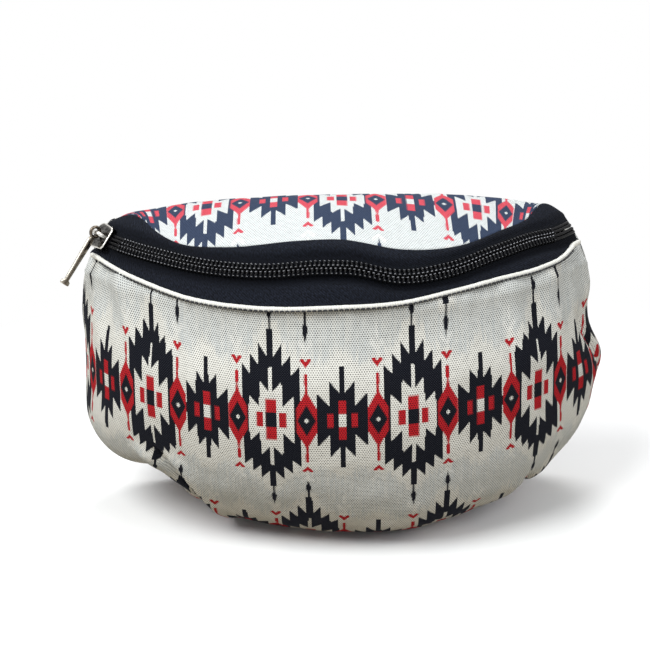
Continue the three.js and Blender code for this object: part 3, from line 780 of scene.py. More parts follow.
def polished(name, painted_dark_reflection, bright):
    """Metal with painted reflection: painted dark where the second cloth coordinate is 0 and painted as a highlight
    where it is 1.
    """
    finish = Finish(name, 0.22, 1.0)
    fine = finish.noise(900.0, 4.0, finish.place())
    share = finish.cloth()[1].math("ADD", fine.remap(0.3, 0.7, -0.12, 0.12), clamp=True)
    rough = fine.remap(0.3, 0.7, 0.16, 0.3)
    return finish.finished(finish.mix(share, painted_dark_reflection, bright), fine, 0.00003, 0.5, Roughness=rough)


def grained(
    name, colour, lighter, roughness, metallic=0.0, scale=2500.0, distance=0.0001, strength=0.5, gloss=0.5
):
    """A solid with fine grain, in object coordinates: plastic, thread, foam or foil."""
    finish = Finish(name, roughness, metallic, gloss)
    fine = finish.noise(scale, 4.0, finish.place())
    broad = finish.noise(scale / 12, 2.0, finish.place())
    rough = fine.remap(0.3, 0.7, roughness * 0.85, roughness * 1.15)
    colour = finish.mix(broad.remap(0.3, 0.7), colour, lighter)
    return finish.finished(colour, fine, distance, strength, Roughness=rough)


PRINT = printed_nylon("printed nylon", 1.0, CREAM, NAVY, RED, 0.9)
# The top panel: the front's print with no grey ground, lighter navy and red and less gap shade, as painted light from
# above.
TOP_PRINT = printed_nylon("printed nylon of the top", 0.0, TOP_CREAM, TOP_NAVY_PAINTED_LIGHT, TOP_RED_PAINTED_LIGHT, 0.6)
# The hem: the printed cloth made cream all over, lighter than the print below it, as painted light on the rolled fold.
HEM_CLOTH = printed_nylon("plain nylon of the hem", 0.0, CREAM, CREAM, CREAM, 0.4)
BACKING = plain_cloth("black nylon", srgb(20, 21, 26), srgb(46, 48, 55), 0.7)
TAPE = felted("zip tape", srgb(4, 5, 9), srgb(38, 43, 56), 1.1)
WEBBING = ribbed_cloth("webbing", srgb(18, 18, 22), srgb(52, 53, 58), 2.4)
COIL = grained("zip coil", srgb(7, 7, 9), srgb(13, 13, 16), 0.32, gloss=0.1)
# The coil's threads are real, but their pale colour is a painted highlight on the coil.
COIL_THREAD_HIGHLIGHT = grained("coil thread", srgb(112, 114, 120), srgb(160, 162, 168), 0.4)
# Nickel: its near-black colour is a painted dark reflection, and its pale colour a painted highlight.
NICKEL = polished("nickel", (0.022, 0.021, 0.02, 1.0), (0.74, 0.72, 0.67, 1.0))
# Browned nickel: a brown tint, painted dark as a reflection and painted pale as a highlight.
BROWNED = polished("browned nickel", (0.13, 0.105, 0.08, 1.0), (0.6, 0.56, 0.48, 1.0))
THREAD = grained("black thread", srgb(16, 16, 20), srgb(38, 39, 44), 0.7, scale=3000.0)
PILE = grained("hook and pile", srgb(12, 12, 15), srgb(34, 35, 40), 0.95, 0.0, 2600.0, 0.0008, 1.0)
FOAM_FINISH = grained("foam", srgb(222, 222, 224), srgb(236, 236, 238), 0.9, 0.0, 1600.0, 0.0003)
FOIL_FINISH = grained("foil", (0.62, 0.63, 0.65, 1.0), (0.78, 0.79, 0.8, 1.0), 0.32, 1.0, 160.0, 0.0006, 0.8)

# Printed front, sides and bottom

HEM_TUCK = 0.8  # how far the panel's edge goes up behind the hem
BODY_COLUMNS = 150
WING_COLUMNS = 15
WING_ROWS = 12
PRINT_ROW_HEIGHT = 69.9  # level of the middle of the front's row of figures
PRINT_SQUEEZE = 8.8  # the print runs this much short under the belly, between these lengths down it
SQUEEZE_START = 14.0
SQUEEZE_END = 44.0
PRINT_SHIFT = 0.7  # how far the print lies to the right, and how much further towards either side
PRINT_SHIFT_LEFT = 3.4
PRINT_SHIFT_RIGHT = 1.0
STRETCH_LEFT = 0.07  # the figures' upper half is this much taller at the left
ROW_RISE_LEFT = 2.0
ROW_RISE_RIGHT = 0.5
CLOTH_THICKNESS = 0.9


def front_turns():
    wing = np.linspace(END_TURN, WRAP_TURN, WING_COLUMNS)
    body = np.linspace(-END_TURN, END_TURN, BODY_COLUMNS + 1)
    return np.concatenate([-wing[::-1], body[1:-1], wing])


def front_heights():
    upper = np.linspace(PANEL_TOP + HEM_TUCK, BELLY_HEIGHT, 27)[:-1]
    lower = BELLY_HEIGHT * (1 - np.sin(np.linspace(0, math.pi / 2, 50)))
    return np.concatenate([upper, lower])


def mouth_turns(turns):
    """Turn about the zip's axis of the points where the front's columns meet the mouth."""
    x, y = mouth_point(turns, PANEL_TOP)
    return np.degrees(np.arctan2(x, AXIS_Y - y))


def wing_top(y):
    """Sloping upper edge of the wings behind the ends of the zip."""
    start_y = AXIS_Y - MOUTH_RADIUS * cosine(MOUTH_HALF)
    slope = CORNER_DROP / (SEAM_Y - start_y)
    return BAND_TOP - PIPING_RADIUS - slope * (y - start_y)


def arc_from(grid, axis, start):
    """Distance along a grid's rows (axis 1) or down its columns (axis 0), from the one numbered start."""
    steps = np.linalg.norm(np.diff(grid, axis=axis), axis=2)
    lengths = np.cumsum(np.insert(steps, 0, 0, axis=axis), axis=axis)
    return lengths - np.take(lengths, [start], axis=axis)


def front_shape():
    turns = front_turns()
    heights = front_heights()
    rise = eased(mouth_turns(turns), HEM_RISE) * SLANT_RISE
    follow = ramp(BELLY_HEIGHT, PANEL_TOP, heights)[:, None]
    grid = section_point(turns, heights[:, None] + rise * follow)
    seam = np.linspace(grid[-1, 0], grid[-1, -1], len(turns))
    floor = np.linspace(grid[-1], seam, 14)[1:]
    grid = np.concatenate([grid, floor])
    rows, columns = grid.shape[:2]
    level_row = int(np.argmin(np.abs(heights - PRINT_ROW_HEIGHT)))
    across = arc_from(grid, 1, columns // 2)
    up = -arc_from(grid, 0, level_row) + heights[level_row] - PRINT_ROW_HEIGHT
    up = up - PRINT_SQUEEZE * ramp(SQUEEZE_START, SQUEEZE_END, -up)
    left, right = (ramp(PRINT_PERIOD / 2, 1.5 * PRINT_PERIOD, side * across) for side in (-1, 1))
    up = up - STRETCH_LEFT * left * np.clip(up, 0, None)
    up = up - ROW_RISE_LEFT * left - ROW_RISE_RIGHT * right
    across = across - PRINT_SHIFT - PRINT_SHIFT_LEFT * left - PRINT_SHIFT_RIGHT * right
    shape = Shape(grid, grid_faces(rows, columns), stacked(across, up), flip=True)
    for first in (0, columns - WING_COLUMNS):
        ids = np.arange(first, first + WING_COLUMNS)
        top = wing_top(grid[0, ids, 1])
        for _ in range(4):
            top = wing_top(section_point(turns[ids], top)[:, 1])
        base = grid[0, ids, 2]
        height = base + (top - base) * (np.arange(1, WING_ROWS + 1)[:, None] / WING_ROWS)
        place = np.append(ids, len(shape.points) + np.arange(height.size)).tolist()
        cloth = stacked(across[0, ids], up[0, ids] + (height - base) * 1.05)
        shape.add(section_point(turns[ids], height), [], cloth)
        for face in grid_faces(WING_ROWS + 1, WING_COLUMNS):
            shape.faces.append(tuple(place[i] for i in face))
    return shape


def add_inner_layers(skin, word, kept):
    """Foam and foil inside a sculpted skin; kept(points, layer end) says which points they cover."""
    normals = normals_of(skin)
    for kind, inset, thickness, material, slot, end_y in (
        ("insulation", FOAM_INSET, FOAM, FOAM_FINISH, "foam", FOAM_END_Y),
        ("lining", FOIL_INSET, FOIL, FOIL_FINISH, "foil", FOIL_END_Y),
    ):
        points = skin.points - normals * inset
        points[:, 2] = np.maximum(points[:, 2], inset + FLOOR_CLEARANCE)
        inside = kept(points, end_y)
        faces = [face for face in skin.faces if all(inside[i] for i in face)]
        used, faces = np.unique(faces, return_inverse=True)
        layer = Shape(points[used], faces.reshape(-1, 4).tolist(), skin.cloth[used])
        name = f"{word}_{kind}"
        add_piece(f"{word}_{kind}_layer", layer, material, slot, [name], thickness=thickness)


def left_dart(x, y, z):
    """The lower left corner is tucked under along a short slanted crease."""
    aside = x + 84 - 0.6 * (46 - z)
    shown = (1 - ramp(38, 50, z)) * (1 - ramp(0, 20, y))
    return shown * (3.0 * hump(aside, -8, 5) - 5.5 * hump(aside, 0, 2.0) + 2.0 * hump(aside, 7, 4))


def right_dart(x, y, z):
    aside = x - 85 - 0.15 * (z - 16)
    shown = (1 - ramp(20, 30, z)) * (1 - ramp(5, 25, y))
    return shown * (1.0 * hump(aside, 8, 5) - 2.2 * hump(aside, 0, 1.8) + 1.0 * hump(aside, -7, 4))


def side_fold(x, y, z):
    """The right side folds in along a steep crease, with the bag's back bulging behind it."""
    behind = y - 9.5 - 0.45 * (90 - z)
    shown = ramp(95, 110, x) * hump(z, 74, 18)
    return shown * (1.5 * hump(behind, 8, 6) - 4.0 * hump(behind, 0, 2.8) + 0.6 * hump(behind, -7, 5))


def front_folds(points, cloth):
    """How far the soft front stands off its smooth outline, in millimetres."""
    x, y, z = points.T
    across, up = cloth.T
    lumps = 0.9 * ripple(across, up, 38.0, 1) + 0.45 * ripple(across, up, 14.0, 2)
    below_hem = np.clip(PANEL_TOP - z, 0, None)
    puckers = 0.6 * ripple(across, up * 0.25, 6.0, 3) * np.exp(-below_hem / 9.0)
    corners = ramp(45, 80, np.abs(x)) * ramp(78, 98, z)
    drapes = 2.3 * ripple(across + 0.25 * up, up * 0.2, 10.0, 4) * corners
    rumples = 0.9 * ripple(across * 0.5, up, 9.0, 7) * hump(z, 12, 14) * (1 - ramp(0, 25, y))
    lobes = (
        3.0 * hump(z, 42, 16) * ramp(92, 112, -x)
        + 3.6 * hump(z, 67, 12) * ramp(100, 118, x)
        + 2.0 * hump(z, 45, 15) * ramp(80, 108, x)
        - 3.2 * hump(z, 92, 12) * ramp(100, 115, x)
        - 1.0 * ramp(90, 108, z) * ramp(95, 110, -x)
        - 2.8 * ramp(98, 116, z) * ramp(95, 112, x)
    )
    darts = left_dart(x, y, z) + right_dart(x, y, z) + side_fold(x, y, z)
    held = 1 - ramp(32, 45, y)
    return held * (lumps + puckers + drapes + rumples + lobes + darts)


def settle(points):
    """Lifts the underside at the lower left corner, and rests the rest on the floor."""
    x, y, z = points.T
    lift = 15.0 * hump(x, -83, 16) * (1 - ramp(0, 52, z))
    return stacked(x, y, np.maximum(z + lift, 0))


def under_front(points, end_y):
    """Below the mouth, and lower still beside the ends of the zip."""
    top = PANEL_TOP - 2 - 0.14 * np.clip(points[:, 1] + 20, 0, None)
    return (points[:, 1] < end_y) & (points[:, 2] < top)


front = front_shape()
sculpt(front, front_folds)
front.points = settle(front.points)
front_piece = add_piece(
    "printed_front", front, PRINT, "print", ["front_panel"], thickness=CLOTH_THICKNESS
)
add_inner_layers(front, "front", under_front)

# Printed top panel

TOP_COLUMNS = 121
TOP_ROWS = 42
TOP_MARGIN = 0.2
TOP_SPREAD = 85.0  # the columns lie closer together near the corners
TOP_ROW = 23.0  # the print's row lies this far in front of the back seam, and further to the right
TOP_ROW_SLANT = 0.05
TOP_PRINT_SHIFT = 2.8
TOP_PRINT_SCALE = 0.92


def top_shape():
    radius = BAND_TOP_RADIUS - TOP_MARGIN
    half = radius * sine(MOUTH_HALF) - TOP_MARGIN
    spread = math.radians(TOP_SPREAD)
    x = half * np.sin(np.linspace(-spread, spread, TOP_COLUMNS)) / math.sin(spread)
    start_y = AXIS_Y - np.sqrt(radius**2 - x**2)
    share = np.linspace(0, 1, TOP_ROWS)[:, None]
    y = start_y + (SEAM_Y - start_y) * share
    grid = stacked(x, y, crown_height(x, y))
    across = arc_from(grid, 1, TOP_COLUMNS // 2) + PRINT_PERIOD / 2 - TOP_PRINT_SHIFT
    turn = np.degrees(np.arctan2(x, AXIS_Y - start_y))
    drop = band_point(UPPER_HALF + eased(turn, EDGE_WAVE), 0, turn) - band_point(UPPER_HALF, 0, turn)
    grid = grid + drop * (1 - share[:, :, None]) ** 2
    up = arc_from(grid, 0, -1) * TOP_PRINT_SCALE + (TOP_ROW + TOP_ROW_SLANT * x)
    return Shape(grid, grid_faces(TOP_ROWS, TOP_COLUMNS), stacked(across, up))


def top_folds(points, cloth):
    across, up = cloth.T
    return 0.5 * ripple(across, up, 30.0, 5) + 0.2 * ripple(across, up, 10.0, 6)


def under_top(points, end_y):
    """Inside the zip's inner edge and the back layers, where foam fits under the top panel."""
    radius = np.hypot(points[:, 0], AXIS_Y - points[:, 1])
    reach = 2 * (SKIN + FOAM + 2 * GAP)
    return (points[:, 1] < end_y) & (radius < BAND_TOP_RADIUS - reach)


top = top_shape()
sculpt(top, top_folds)
top_piece = add_piece(
    "printed_top", top, TOP_PRINT, "print", ["top_panel"], thickness=CLOTH_THICKNESS
)
add_inner_layers(top, "top", under_top)

# Seams behind the ends of the zip, where the top panel's edge turns down over the wings

SEAM_BULGE = 0.5
SEAM_ROWS = 7


def side_seam(side):
    """A strip from a wing's upper edge to the top panel's side edge."""
    end = len(front.points) - (WING_ROWS * WING_COLUMNS if side < 0 else 0)
    rim = slice(end - WING_COLUMNS, end)
    edge = front.points[rim][::side]
    column = top.points.reshape(TOP_ROWS, TOP_COLUMNS, 3)[:, 0 if side < 0 else -1]
    panel = column[np.linspace(0, TOP_ROWS - 1, WING_COLUMNS).round().astype(int)]
    share = np.linspace(0, 1, SEAM_ROWS)[:, None, None]
    bulge = np.array([side * SEAM_BULGE, 0, SEAM_BULGE]) * 4 * share * (1 - share)
    cloth = front.cloth[rim][::side] + stacked(0, np.linalg.norm(panel - edge, axis=1)) * share
    faces = grid_faces(SEAM_ROWS, WING_COLUMNS)
    return Shape(edge + (panel - edge) * share + bulge, faces, cloth, flip=side > 0)


for side, word in SIDES:
    add_piece(f"corner_seam_{word}", side_seam(side), PRINT, "print", thickness=CLOTH_THICKNESS)

# Back panel

BACK_COLUMNS = 61
BACK_THICKNESS = 0.8


def back_shape():
    low = BELLY_HEIGHT * (1 - np.sin(np.linspace(math.pi / 2, 0, 30)))
    middle = np.linspace(BELLY_HEIGHT, BAND_TOP, 30)[1:]
    levels = np.concatenate([low, middle])[:, None]
    share = np.linspace(-1, 1, BACK_COLUMNS)
    x = section_point(WRAP_TURN, levels)[..., 0] * share
    rise = ramp(SHOULDER_HEIGHT, BAND_TOP, levels)
    z = levels + rise * (crown_height(x, SEAM_Y) - BAND_TOP)
    edge = np.minimum(1 - np.abs(share) ** 6, np.clip(z / 12, 0, 1))
    y = SEAM_Y + 0.2 + (BACK_DEPTH - SEAM_Y - 0.2) * ramp(0, 0.4, edge)
    return Shape(stacked(x, y, z), grid_faces(len(levels), BACK_COLUMNS), stacked(x, z), flip=True)


add_piece("back_cloth", back_shape(), BACKING, "backing", ["back_panel"], thickness=BACK_THICKNESS)

# Rolled hem along the mouth, and the stitches under it

HEM_HALF_ANGLE = 56.3
HEM_RADIUS = 1.15
HEM_STEPS = 420
HEM_SIDES = 12
HEM_PRINT_LEVEL = 53.8  # the hem's cloth comes from this far up the print
STITCH_HALF_ANGLE = 52
STITCH_PITCH = 2.3
STITCH_LENGTH = 1.3
STITCH_RADIUS = 0.42
STITCH_BOW = np.array([-0.5, 0.0, 0.15, 0.15, 0.0, -0.5])


def hem_shape():
    turn = np.linspace(-HEM_HALF_ANGLE, HEM_HALF_ANGLE, HEM_STEPS)
    wander = 0.12 * ripple(turn * 2.3, 0 * turn, 4.0, 11)
    path = band_point(eased(turn, HEM_RISE) - LOWER_HALF - 0.3 + wander, 0.55, turn)
    taper = np.clip((HEM_HALF_ANGLE - np.abs(turn)) / 0.6, 0.35, 1)
    radius = (HEM_RADIUS + 0.08 * ripple(turn * 2.3, 0 * turn, 1.6, 12)) * taper
    turns = front_turns()
    across = np.interp(turn, mouth_turns(turns), front.cloth[:len(turns), 0])
    shape = Shape()
    cloth = np.repeat(stacked(across, HEM_PRINT_LEVEL), HEM_SIDES, axis=0)
    add_tube(shape, path, radius, HEM_SIDES, cloth=cloth)
    return shape


def hem_stitches():
    shape = Shape()
    pitch = float(np.degrees(STITCH_PITCH / MOUTH_RADIUS))
    reach = np.degrees(STITCH_LENGTH / 2 / MOUTH_RADIUS)
    count = int(2 * STITCH_HALF_ANGLE / pitch)
    for k in range(count):
        middle = (k - (count - 1) / 2) * pitch
        turn = np.linspace(middle - reach, middle + reach, len(STITCH_BOW))
        path = band_point(eased(turn, HEM_RISE) - LOWER_HALF - 1.6, 1.55 + STITCH_BOW, turn)
        add_tube(shape, path, STITCH_RADIUS, 6)
    return shape


add_piece("hem", hem_shape(), HEM_CLOTH, "piping", ["edge_piping"])
add_piece("hem_stitches", hem_stitches(), THREAD, "thread", ["edge_stitching"])

# Zip tapes, with the soft wave of cloth between the chain and the seams

TAPE_SLIT = 0.9
TAPE_HALF = 0.4
TAPE_THICKNESS = 0.7
TAPE_DIP = 1.3  # hollow in the lower tape, right under the chain


def tape_shape(side):
    """One tape as a grid from the slit (share 0) to its sewn edge (share 1)."""
    share = np.linspace(0, 1, 18)[:, None]
    turn = np.linspace(-MOUTH_HALF, MOUTH_HALF, 261)[None, :]
    chain = eased(turn, CHAIN_WAVE)
    if side > 0:
        edge = UPPER_HALF - GAP + eased(turn, EDGE_WAVE)
    else:
        edge = eased(turn, HEM_RISE) - LOWER_HALF
    slit = chain + side * TAPE_SLIT
    across = slit + (edge - slit) * share
    from_chain = np.abs(across - chain)
    along = np.radians(turn) * CHAIN_RADIUS + 0 * share
    lumps = 0.8 * ripple(along, side * 40 + across, 30.0, 21)
    dip = TAPE_DIP * hump(from_chain, 5.5, 2.5) if side < 0 else 0
    out = ramp(5.0, 9.0, from_chain) * 5 * share * (1 - share) * (1.0 + lumps) - dip
    faces = grid_faces(share.size, turn.size)
    return Shape(band_point(across, out, turn), faces, stacked(across - chain, along), flip=side > 0)


for side, word in HALVES:
    add_piece(f"tape_{word}", tape_shape(side), TAPE, "zip_tape", [f"zip_tape_{word}"], TAPE_THICKNESS)

# Zip chain: two rows of nylon turns that mesh in the middle, and the threads that hold them, coloured pale as painted
# highlights

TOOTH_PITCH = 2.0
COIL_TOP = 3.05
COIL_OUTER = 4.0
COIL_HALF_ANGLE = MOUTH_HALF - float(zip_degrees(0.8))
COIL_FIRST = -47.6  # the coil shows between these turns, and past them its cords run on under the tape
COIL_LAST = 48.4

# One turn of the coil as (across, out, along)
TURN_POINTS = [
    (3.1, 0.95, -0.45), (3.3, 1.6, -0.35), (3.0, 2.25, -0.25), (2.4, 2.5, -0.1), (1.6, 2.6, 0.1),
    (0.8, 2.55, 0.3), (0.2, 2.15, 0.45), (0.1, 1.6, 0.45), (0.45, 1.15, 0.4),
]
TURN_RADIUS = 0.52
CORD_RADIUS = 0.75
THREAD_RADIUS = 0.2
CORD_PLACES = [(0.9, 2.35), (2.5, 2.0)]  # the coil's cords at its ends, across and out
THREAD_PLACES = [(2.9, 2.65), (0.75, 3.0)]  # stitches that hold the coil, across and out


def coil_middles(side):
    """Places along the zip of one side's turns."""
    first = math.radians(COIL_FIRST) * CHAIN_RADIUS
    last = math.radians(COIL_LAST) * CHAIN_RADIUS
    return np.arange(first, last, TOOTH_PITCH) + TOOTH_PITCH / 4 * side


def coil_shape(side):
    shape = Shape()
    across, out, along = np.array(TURN_POINTS).T
    for middle in coil_middles(side):
        turn = zip_degrees(middle + along)
        add_tube(shape, band_point(side * across + eased(turn, CHAIN_WAVE), out, turn), TURN_RADIUS, 7)
    for start, end in ((-COIL_HALF_ANGLE, COIL_FIRST), (COIL_LAST, COIL_HALF_ANGLE)):
        turn = np.linspace(start, end, 24)
        sink = np.minimum(1, (COIL_HALF_ANGLE - np.abs(turn)) / 1.2)
        for place, height in CORD_PLACES:
            path = band_point(side * place + eased(turn, CHAIN_WAVE), height * sink, turn)
            add_tube(shape, path, CORD_RADIUS, 10)
    return shape


# Threads that hold the coil, pale as painted highlight dots along it.
def coil_threads():
    shape = Shape()
    bow = np.array([-0.35, 0.0, -0.35])
    for side in (-1, 1):
        for middle in coil_middles(side):
            turn = zip_degrees(middle + np.array([-0.5, 0.0, 0.5]))
            for place, height in THREAD_PLACES:
                path = band_point(side * place + eased(turn, CHAIN_WAVE), height + bow, turn)
                add_tube(shape, path, THREAD_RADIUS, 5)
    return shape


for side, word in HALVES:
    add_piece(f"coil_{word}", coil_shape(side), COIL, "zip_coil", [f"zip_coil_{word}"])
add_piece("coil_threads", coil_threads(), COIL_THREAD_HIGHLIGHT, "zip_coil")

# Slider and pull, in the slider's own frame: +X along the zip, +Y up the band, +Z out from it

SLIDER_LENGTH = 12.0
SLIDER_FRONT_WIDTH = 12.6
SLIDER_REAR_WIDTH = 11.4
SLIDER_CORNER = 2.4
SLIDER_PLATE = 1.0
SLIDER_CROWN = 0.25
SLIDER_CLEARANCE = 0.45
SLIDER_TOP_FACE = COIL_TOP + SLIDER_CLEARANCE
SLIDER_UNDER_FACE = -TAPE_HALF - SLIDER_CLEARANCE
SLIDER_TURN = -MOUTH_HALF + float(zip_degrees(SLIDER_LENGTH / 2 + GAP))
PLATE_ROUNDING = 0.35
EYE_HOLE = 1.6
EYE_WALL = 1.5
EYE_STEPS = 28
BRIDGE_SPAN = 9.6
BRIDGE_BAR = 1.8
BRIDGE_HEIGHT = SLIDER_TOP_FACE + SLIDER_PLATE + EYE_HOLE + EYE_WALL + SLIDER_CLEARANCE
BRIDGE_CORNER = 1.5
BRIDGE_SHINE = (0.0, 0.85)
PULL_SIDES = 16
PULL_STATIONS = [  # along the pull, half its width and half its thickness
    (2.6, 0.8, 0.6), (3.4, 1.45, 0.72), (5.0, 1.6, 0.75), (10.0, 1.5, 0.75), (18.0, 1.3, 0.72),
    (25.4, 1.15, 0.68), (25.8, 1.6, 0.72), (26.2, 2.3, 0.75), (27.6, 2.4, 0.75), (28.0, 2.1, 0.6),
]


def slider_frame():
    outward = Vector((sine(SLIDER_TURN), -cosine(SLIDER_TURN), 0))
    up = Vector((0, 0, 1))
    across = -SLANT_RUN * outward + SLANT_RISE * up
    normal = SLANT_RISE * outward + SLANT_RUN * up
    centre = outward * CHAIN_RADIUS + Vector((0, AXIS_Y, CHAIN_HEIGHT))
    turned = Matrix((across.cross(normal), across, normal)).transposed().to_4x4()
    return Matrix.Translation(centre) @ turned


def pull_frame():
    """The pull's length runs down the band, and its thickness along the zip."""
    lift = Matrix.Translation((0, 0, BRIDGE_HEIGHT))
    return slider_frame() @ lift @ Matrix(((0, 0, -1), (-1, 0, 0), (0, 1, 0))).to_4x4()


def transformed(points, matrix):
    array = np.array(matrix)
    return np.asarray(points) @ array[:3, :3].T + array[:3, 3]


def add_rings(shape, rings, matrix, cloth=(0, 0), flip=False):
    """A closed form through a row of rings."""
    rings = np.array(rings)
    points = transformed(rings.reshape(-1, 3), matrix)
    shape.add(points, tube_faces(*rings.shape[:2]), cloth, flip)


def rounded_outline(corners, steps):
    """Points round an outline whose corners, (x, y, first angle, radius), each turn a quarter."""
    outline = []
    for x, y, start, radius in corners:
        for k in range(steps + 1):
            angle = start + 90 * k / steps
            outline.append((x + radius * cosine(angle), y + radius * sine(angle)))
    return np.array(outline)


def add_plate(shape, low, high, matrix, crown=0.0):
    """A plate whose rounded edges are painted as a highlight and whose crowned outer face is painted dark, as a
    reflection.
    """
    front = SLIDER_LENGTH / 2
    wide = SLIDER_FRONT_WIDTH / 2
    narrow = SLIDER_REAR_WIDTH / 2
    small = SLIDER_CORNER
    large = 1.5 * SLIDER_CORNER
    corners = [
        (front - small, narrow - small, 0, small), (-front + large, wide - large, 90, large),
        (-front + large, -wide + large, 180, large), (front - small, -narrow + small, 270, small),
    ]
    edge = rounded_outline(corners, 6)
    rounding = PLATE_ROUNDING
    rings = []
    cloth = []
    # Each ring's last number is its share of painted highlight; the rest is painted dark reflection.
    for z, scale, highlight_share in (
        (low, 0.94, 0.4), (low + rounding * 0.3, 0.985, 0.8), (low + rounding, 1.0, 1.0),
        (high - rounding, 1.0, 1.0), (high - rounding * 0.3, 0.985, 1.0), (high, 0.95, 0.9),
        (high, 0.88, 0.15), (high + crown * 0.6, 0.6, 0.05), (high + crown, 0.2, 0.15),
    ):
        rings.append(stacked(*(edge * scale).T, z))
        cloth.extend([(0, highlight_share)] * len(edge))
    add_rings(shape, rings, matrix, cloth)


def add_block(shape, centre, size, matrix, rounding=0.3):
    """A block with rounded edges, as a stack of rounded outlines."""
    half_x, half_y, half_z = (s / 2 for s in size)
    rings = []
    for z, inset in (
        (-half_z, rounding), (-half_z + 0.3 * rounding, 0.3 * rounding), (-half_z + rounding, 0),
        (half_z - rounding, 0), (half_z - 0.3 * rounding, 0.3 * rounding), (half_z, rounding),
    ):
        x = half_x - rounding - inset
        y = half_y - rounding - inset
        places = ((x, y, 0), (-x, y, 90), (-x, -y, 180), (x, -y, 270))
        corners = [(*place, rounding) for place in places]
        rings.append(stacked(*rounded_outline(corners, 3).T, z) + centre)
    add_rings(shape, rings, matrix)


def slider_shape():
    place = slider_frame()
    shape = Shape()
    top = SLIDER_TOP_FACE + SLIDER_PLATE
    add_plate(shape, SLIDER_TOP_FACE, top, place, SLIDER_CROWN)
    add_plate(shape, SLIDER_UNDER_FACE - SLIDER_PLATE, SLIDER_UNDER_FACE, place)
    low = TAPE_HALF + SLIDER_CLEARANCE
    high = top - 0.2
    for side in (-1, 1):
        centre = (0, side * (COIL_OUTER + SLIDER_CLEARANCE + 0.55), (low + high) / 2)
        add_block(shape, centre, (SLIDER_LENGTH - 3.4, 1.1, high - low), place)
    low = SLIDER_UNDER_FACE - 0.5
    high = SLIDER_TOP_FACE + 0.5
    add_block(shape, (4.5 - SLIDER_LENGTH / 2, 0, (low + high) / 2), (3, 0.9, high - low), place, 0.2)
    return shape


def bridge_shape():
    """The arch that carries the pull, along the slider."""
    foot = SLIDER_TOP_FACE + SLIDER_PLATE * 0.6
    half = BRIDGE_SPAN / 2 - BRIDGE_BAR / 2
    centre_x = -half + 1.4
    centre_z = BRIDGE_HEIGHT - BRIDGE_CORNER
    path = [(-half, 0, foot), (-half + 0.1, 0, foot + 1.2)]
    for step in range(6):
        angle = 180 - 75 * step / 5
        x = centre_x + BRIDGE_CORNER * cosine(angle) + 0.4
        path.append((x, 0, centre_z + BRIDGE_CORNER * sine(angle)))
    path += [(-x, y, z) for x, y, z in reversed(path)]
    shape = Shape()
    add_tube(shape, transformed(path, slider_frame()), BRIDGE_BAR / 2, 14, cloth=BRIDGE_SHINE)
    return shape


def pull_shape():
    place = pull_frame()
    shape = Shape()
    reach = EYE_HOLE + EYE_WALL / 2
    angles = np.arange(EYE_STEPS) * 2 * math.pi / EYE_STEPS
    eye = stacked(reach * np.cos(angles), reach * np.sin(angles), 0)
    add_tube(shape, transformed(eye, place), EYE_WALL / 2, 12, closed=True)
    angles = np.arange(PULL_SIDES) * 2 * math.pi / PULL_SIDES
    across = np.copysign(np.abs(np.cos(angles)) ** 0.45, np.cos(angles))
    deep = np.copysign(np.abs(np.sin(angles)) ** 0.6, np.sin(angles))
    rings = [stacked(x, half * across, thick * deep) for x, half, thick in PULL_STATIONS]
    # Painted highlight along the pull's edges, and painted dark reflection down its middle.
    highlight_share = stacked(0, np.maximum(0.0, 1.6 * np.abs(across) - 0.7))
    add_rings(shape, rings, place, np.tile(highlight_share, (len(rings), 1)), flip=True)
    return shape


add_piece("slider", slider_shape(), NICKEL, "nickel", ["slider_body"], body="slider")
add_piece("slider_bridge", bridge_shape(), NICKEL, "nickel", body="slider")
add_piece("pull", pull_shape(), BROWNED, "nickel", ["pull_tab"], body="pull")

# Webbing: the horn loop and the saddle straps behind the bag

WEB_THICKNESS = 1.6
WEB_WIDTH = 25.0
PATCH = 1.2
HORN_HALF_WIDTH = 25.0
HORN_REACH = 20.0
HORN_BASE = 86.0
HORN_FLANGE = 16.0
HORN_OVERLAP = 34.0
STRAP_CENTRE = 70.0
STRAP_TOP = 104.0
STRAP_BOTTOM = 42.0
STRAP_GAP = 8.0
STRAP_PATCH_LENGTH = 22.0
STRAP_BEND = 4.0
STRAP_BASE = BACK_DEPTH + GAP
HORN_CENTRE = (0.0, STRAP_BASE + HORN_REACH)
PILE_FACE = HORN_HALF_WIDTH + WEB_THICKNESS + GAP
HOOK_FACE = PILE_FACE + PATCH + GAP
OUTER_LOOP = HOOK_FACE + PATCH + GAP

# Width, thickness, material and slot of a strap and of a patch of hook or pile
STRAP = (WEB_WIDTH, WEB_THICKNESS, WEBBING, "webbing")
GRIP = (WEB_WIDTH - 1, PATCH, PILE, "grip")


def resampled(path, step=1.5):
    path = np.array(path, dtype=float)
    lengths = np.concatenate([[0], np.cumsum(np.linalg.norm(np.diff(path, axis=0), axis=1))])
    places = np.linspace(0, lengths[-1], max(3, int(lengths[-1] / step)))
    return stacked(*(np.interp(places, lengths, line) for line in path.T)), places


def add_strap(name, node, kind, path, to_world):
    """Webbing or a patch along a flat path, with rounded edges; the path is its middle line."""
    width, thickness, material, slot = kind
    middle, lengths = resampled(path)
    tangent = np.gradient(middle, axis=0)
    tangent /= np.linalg.norm(tangent, axis=1, keepdims=True)
    normal = stacked(-tangent[:, 1], tangent[:, 0])
    half = width / 2
    deep = thickness / 2
    side = [(half, 0), (half - 0.15, deep * 0.7), (half - 0.6, deep), (half / 2, deep)]
    upper = [(-across, out) for across, out in side] + [(0, deep)] + side[::-1]
    profile = upper + [(across, -out) for across, out in upper[-2:0:-1]]
    points = []
    cloth = []
    for place, out_way, length in zip(middle, normal, lengths):
        for across, out in profile:
            points.append(to_world(*(place + out_way * out), across))
            cloth.append((across, length))
    add_piece(name, Shape(points, tube_faces(len(middle), len(profile)), cloth), material, slot, [node])


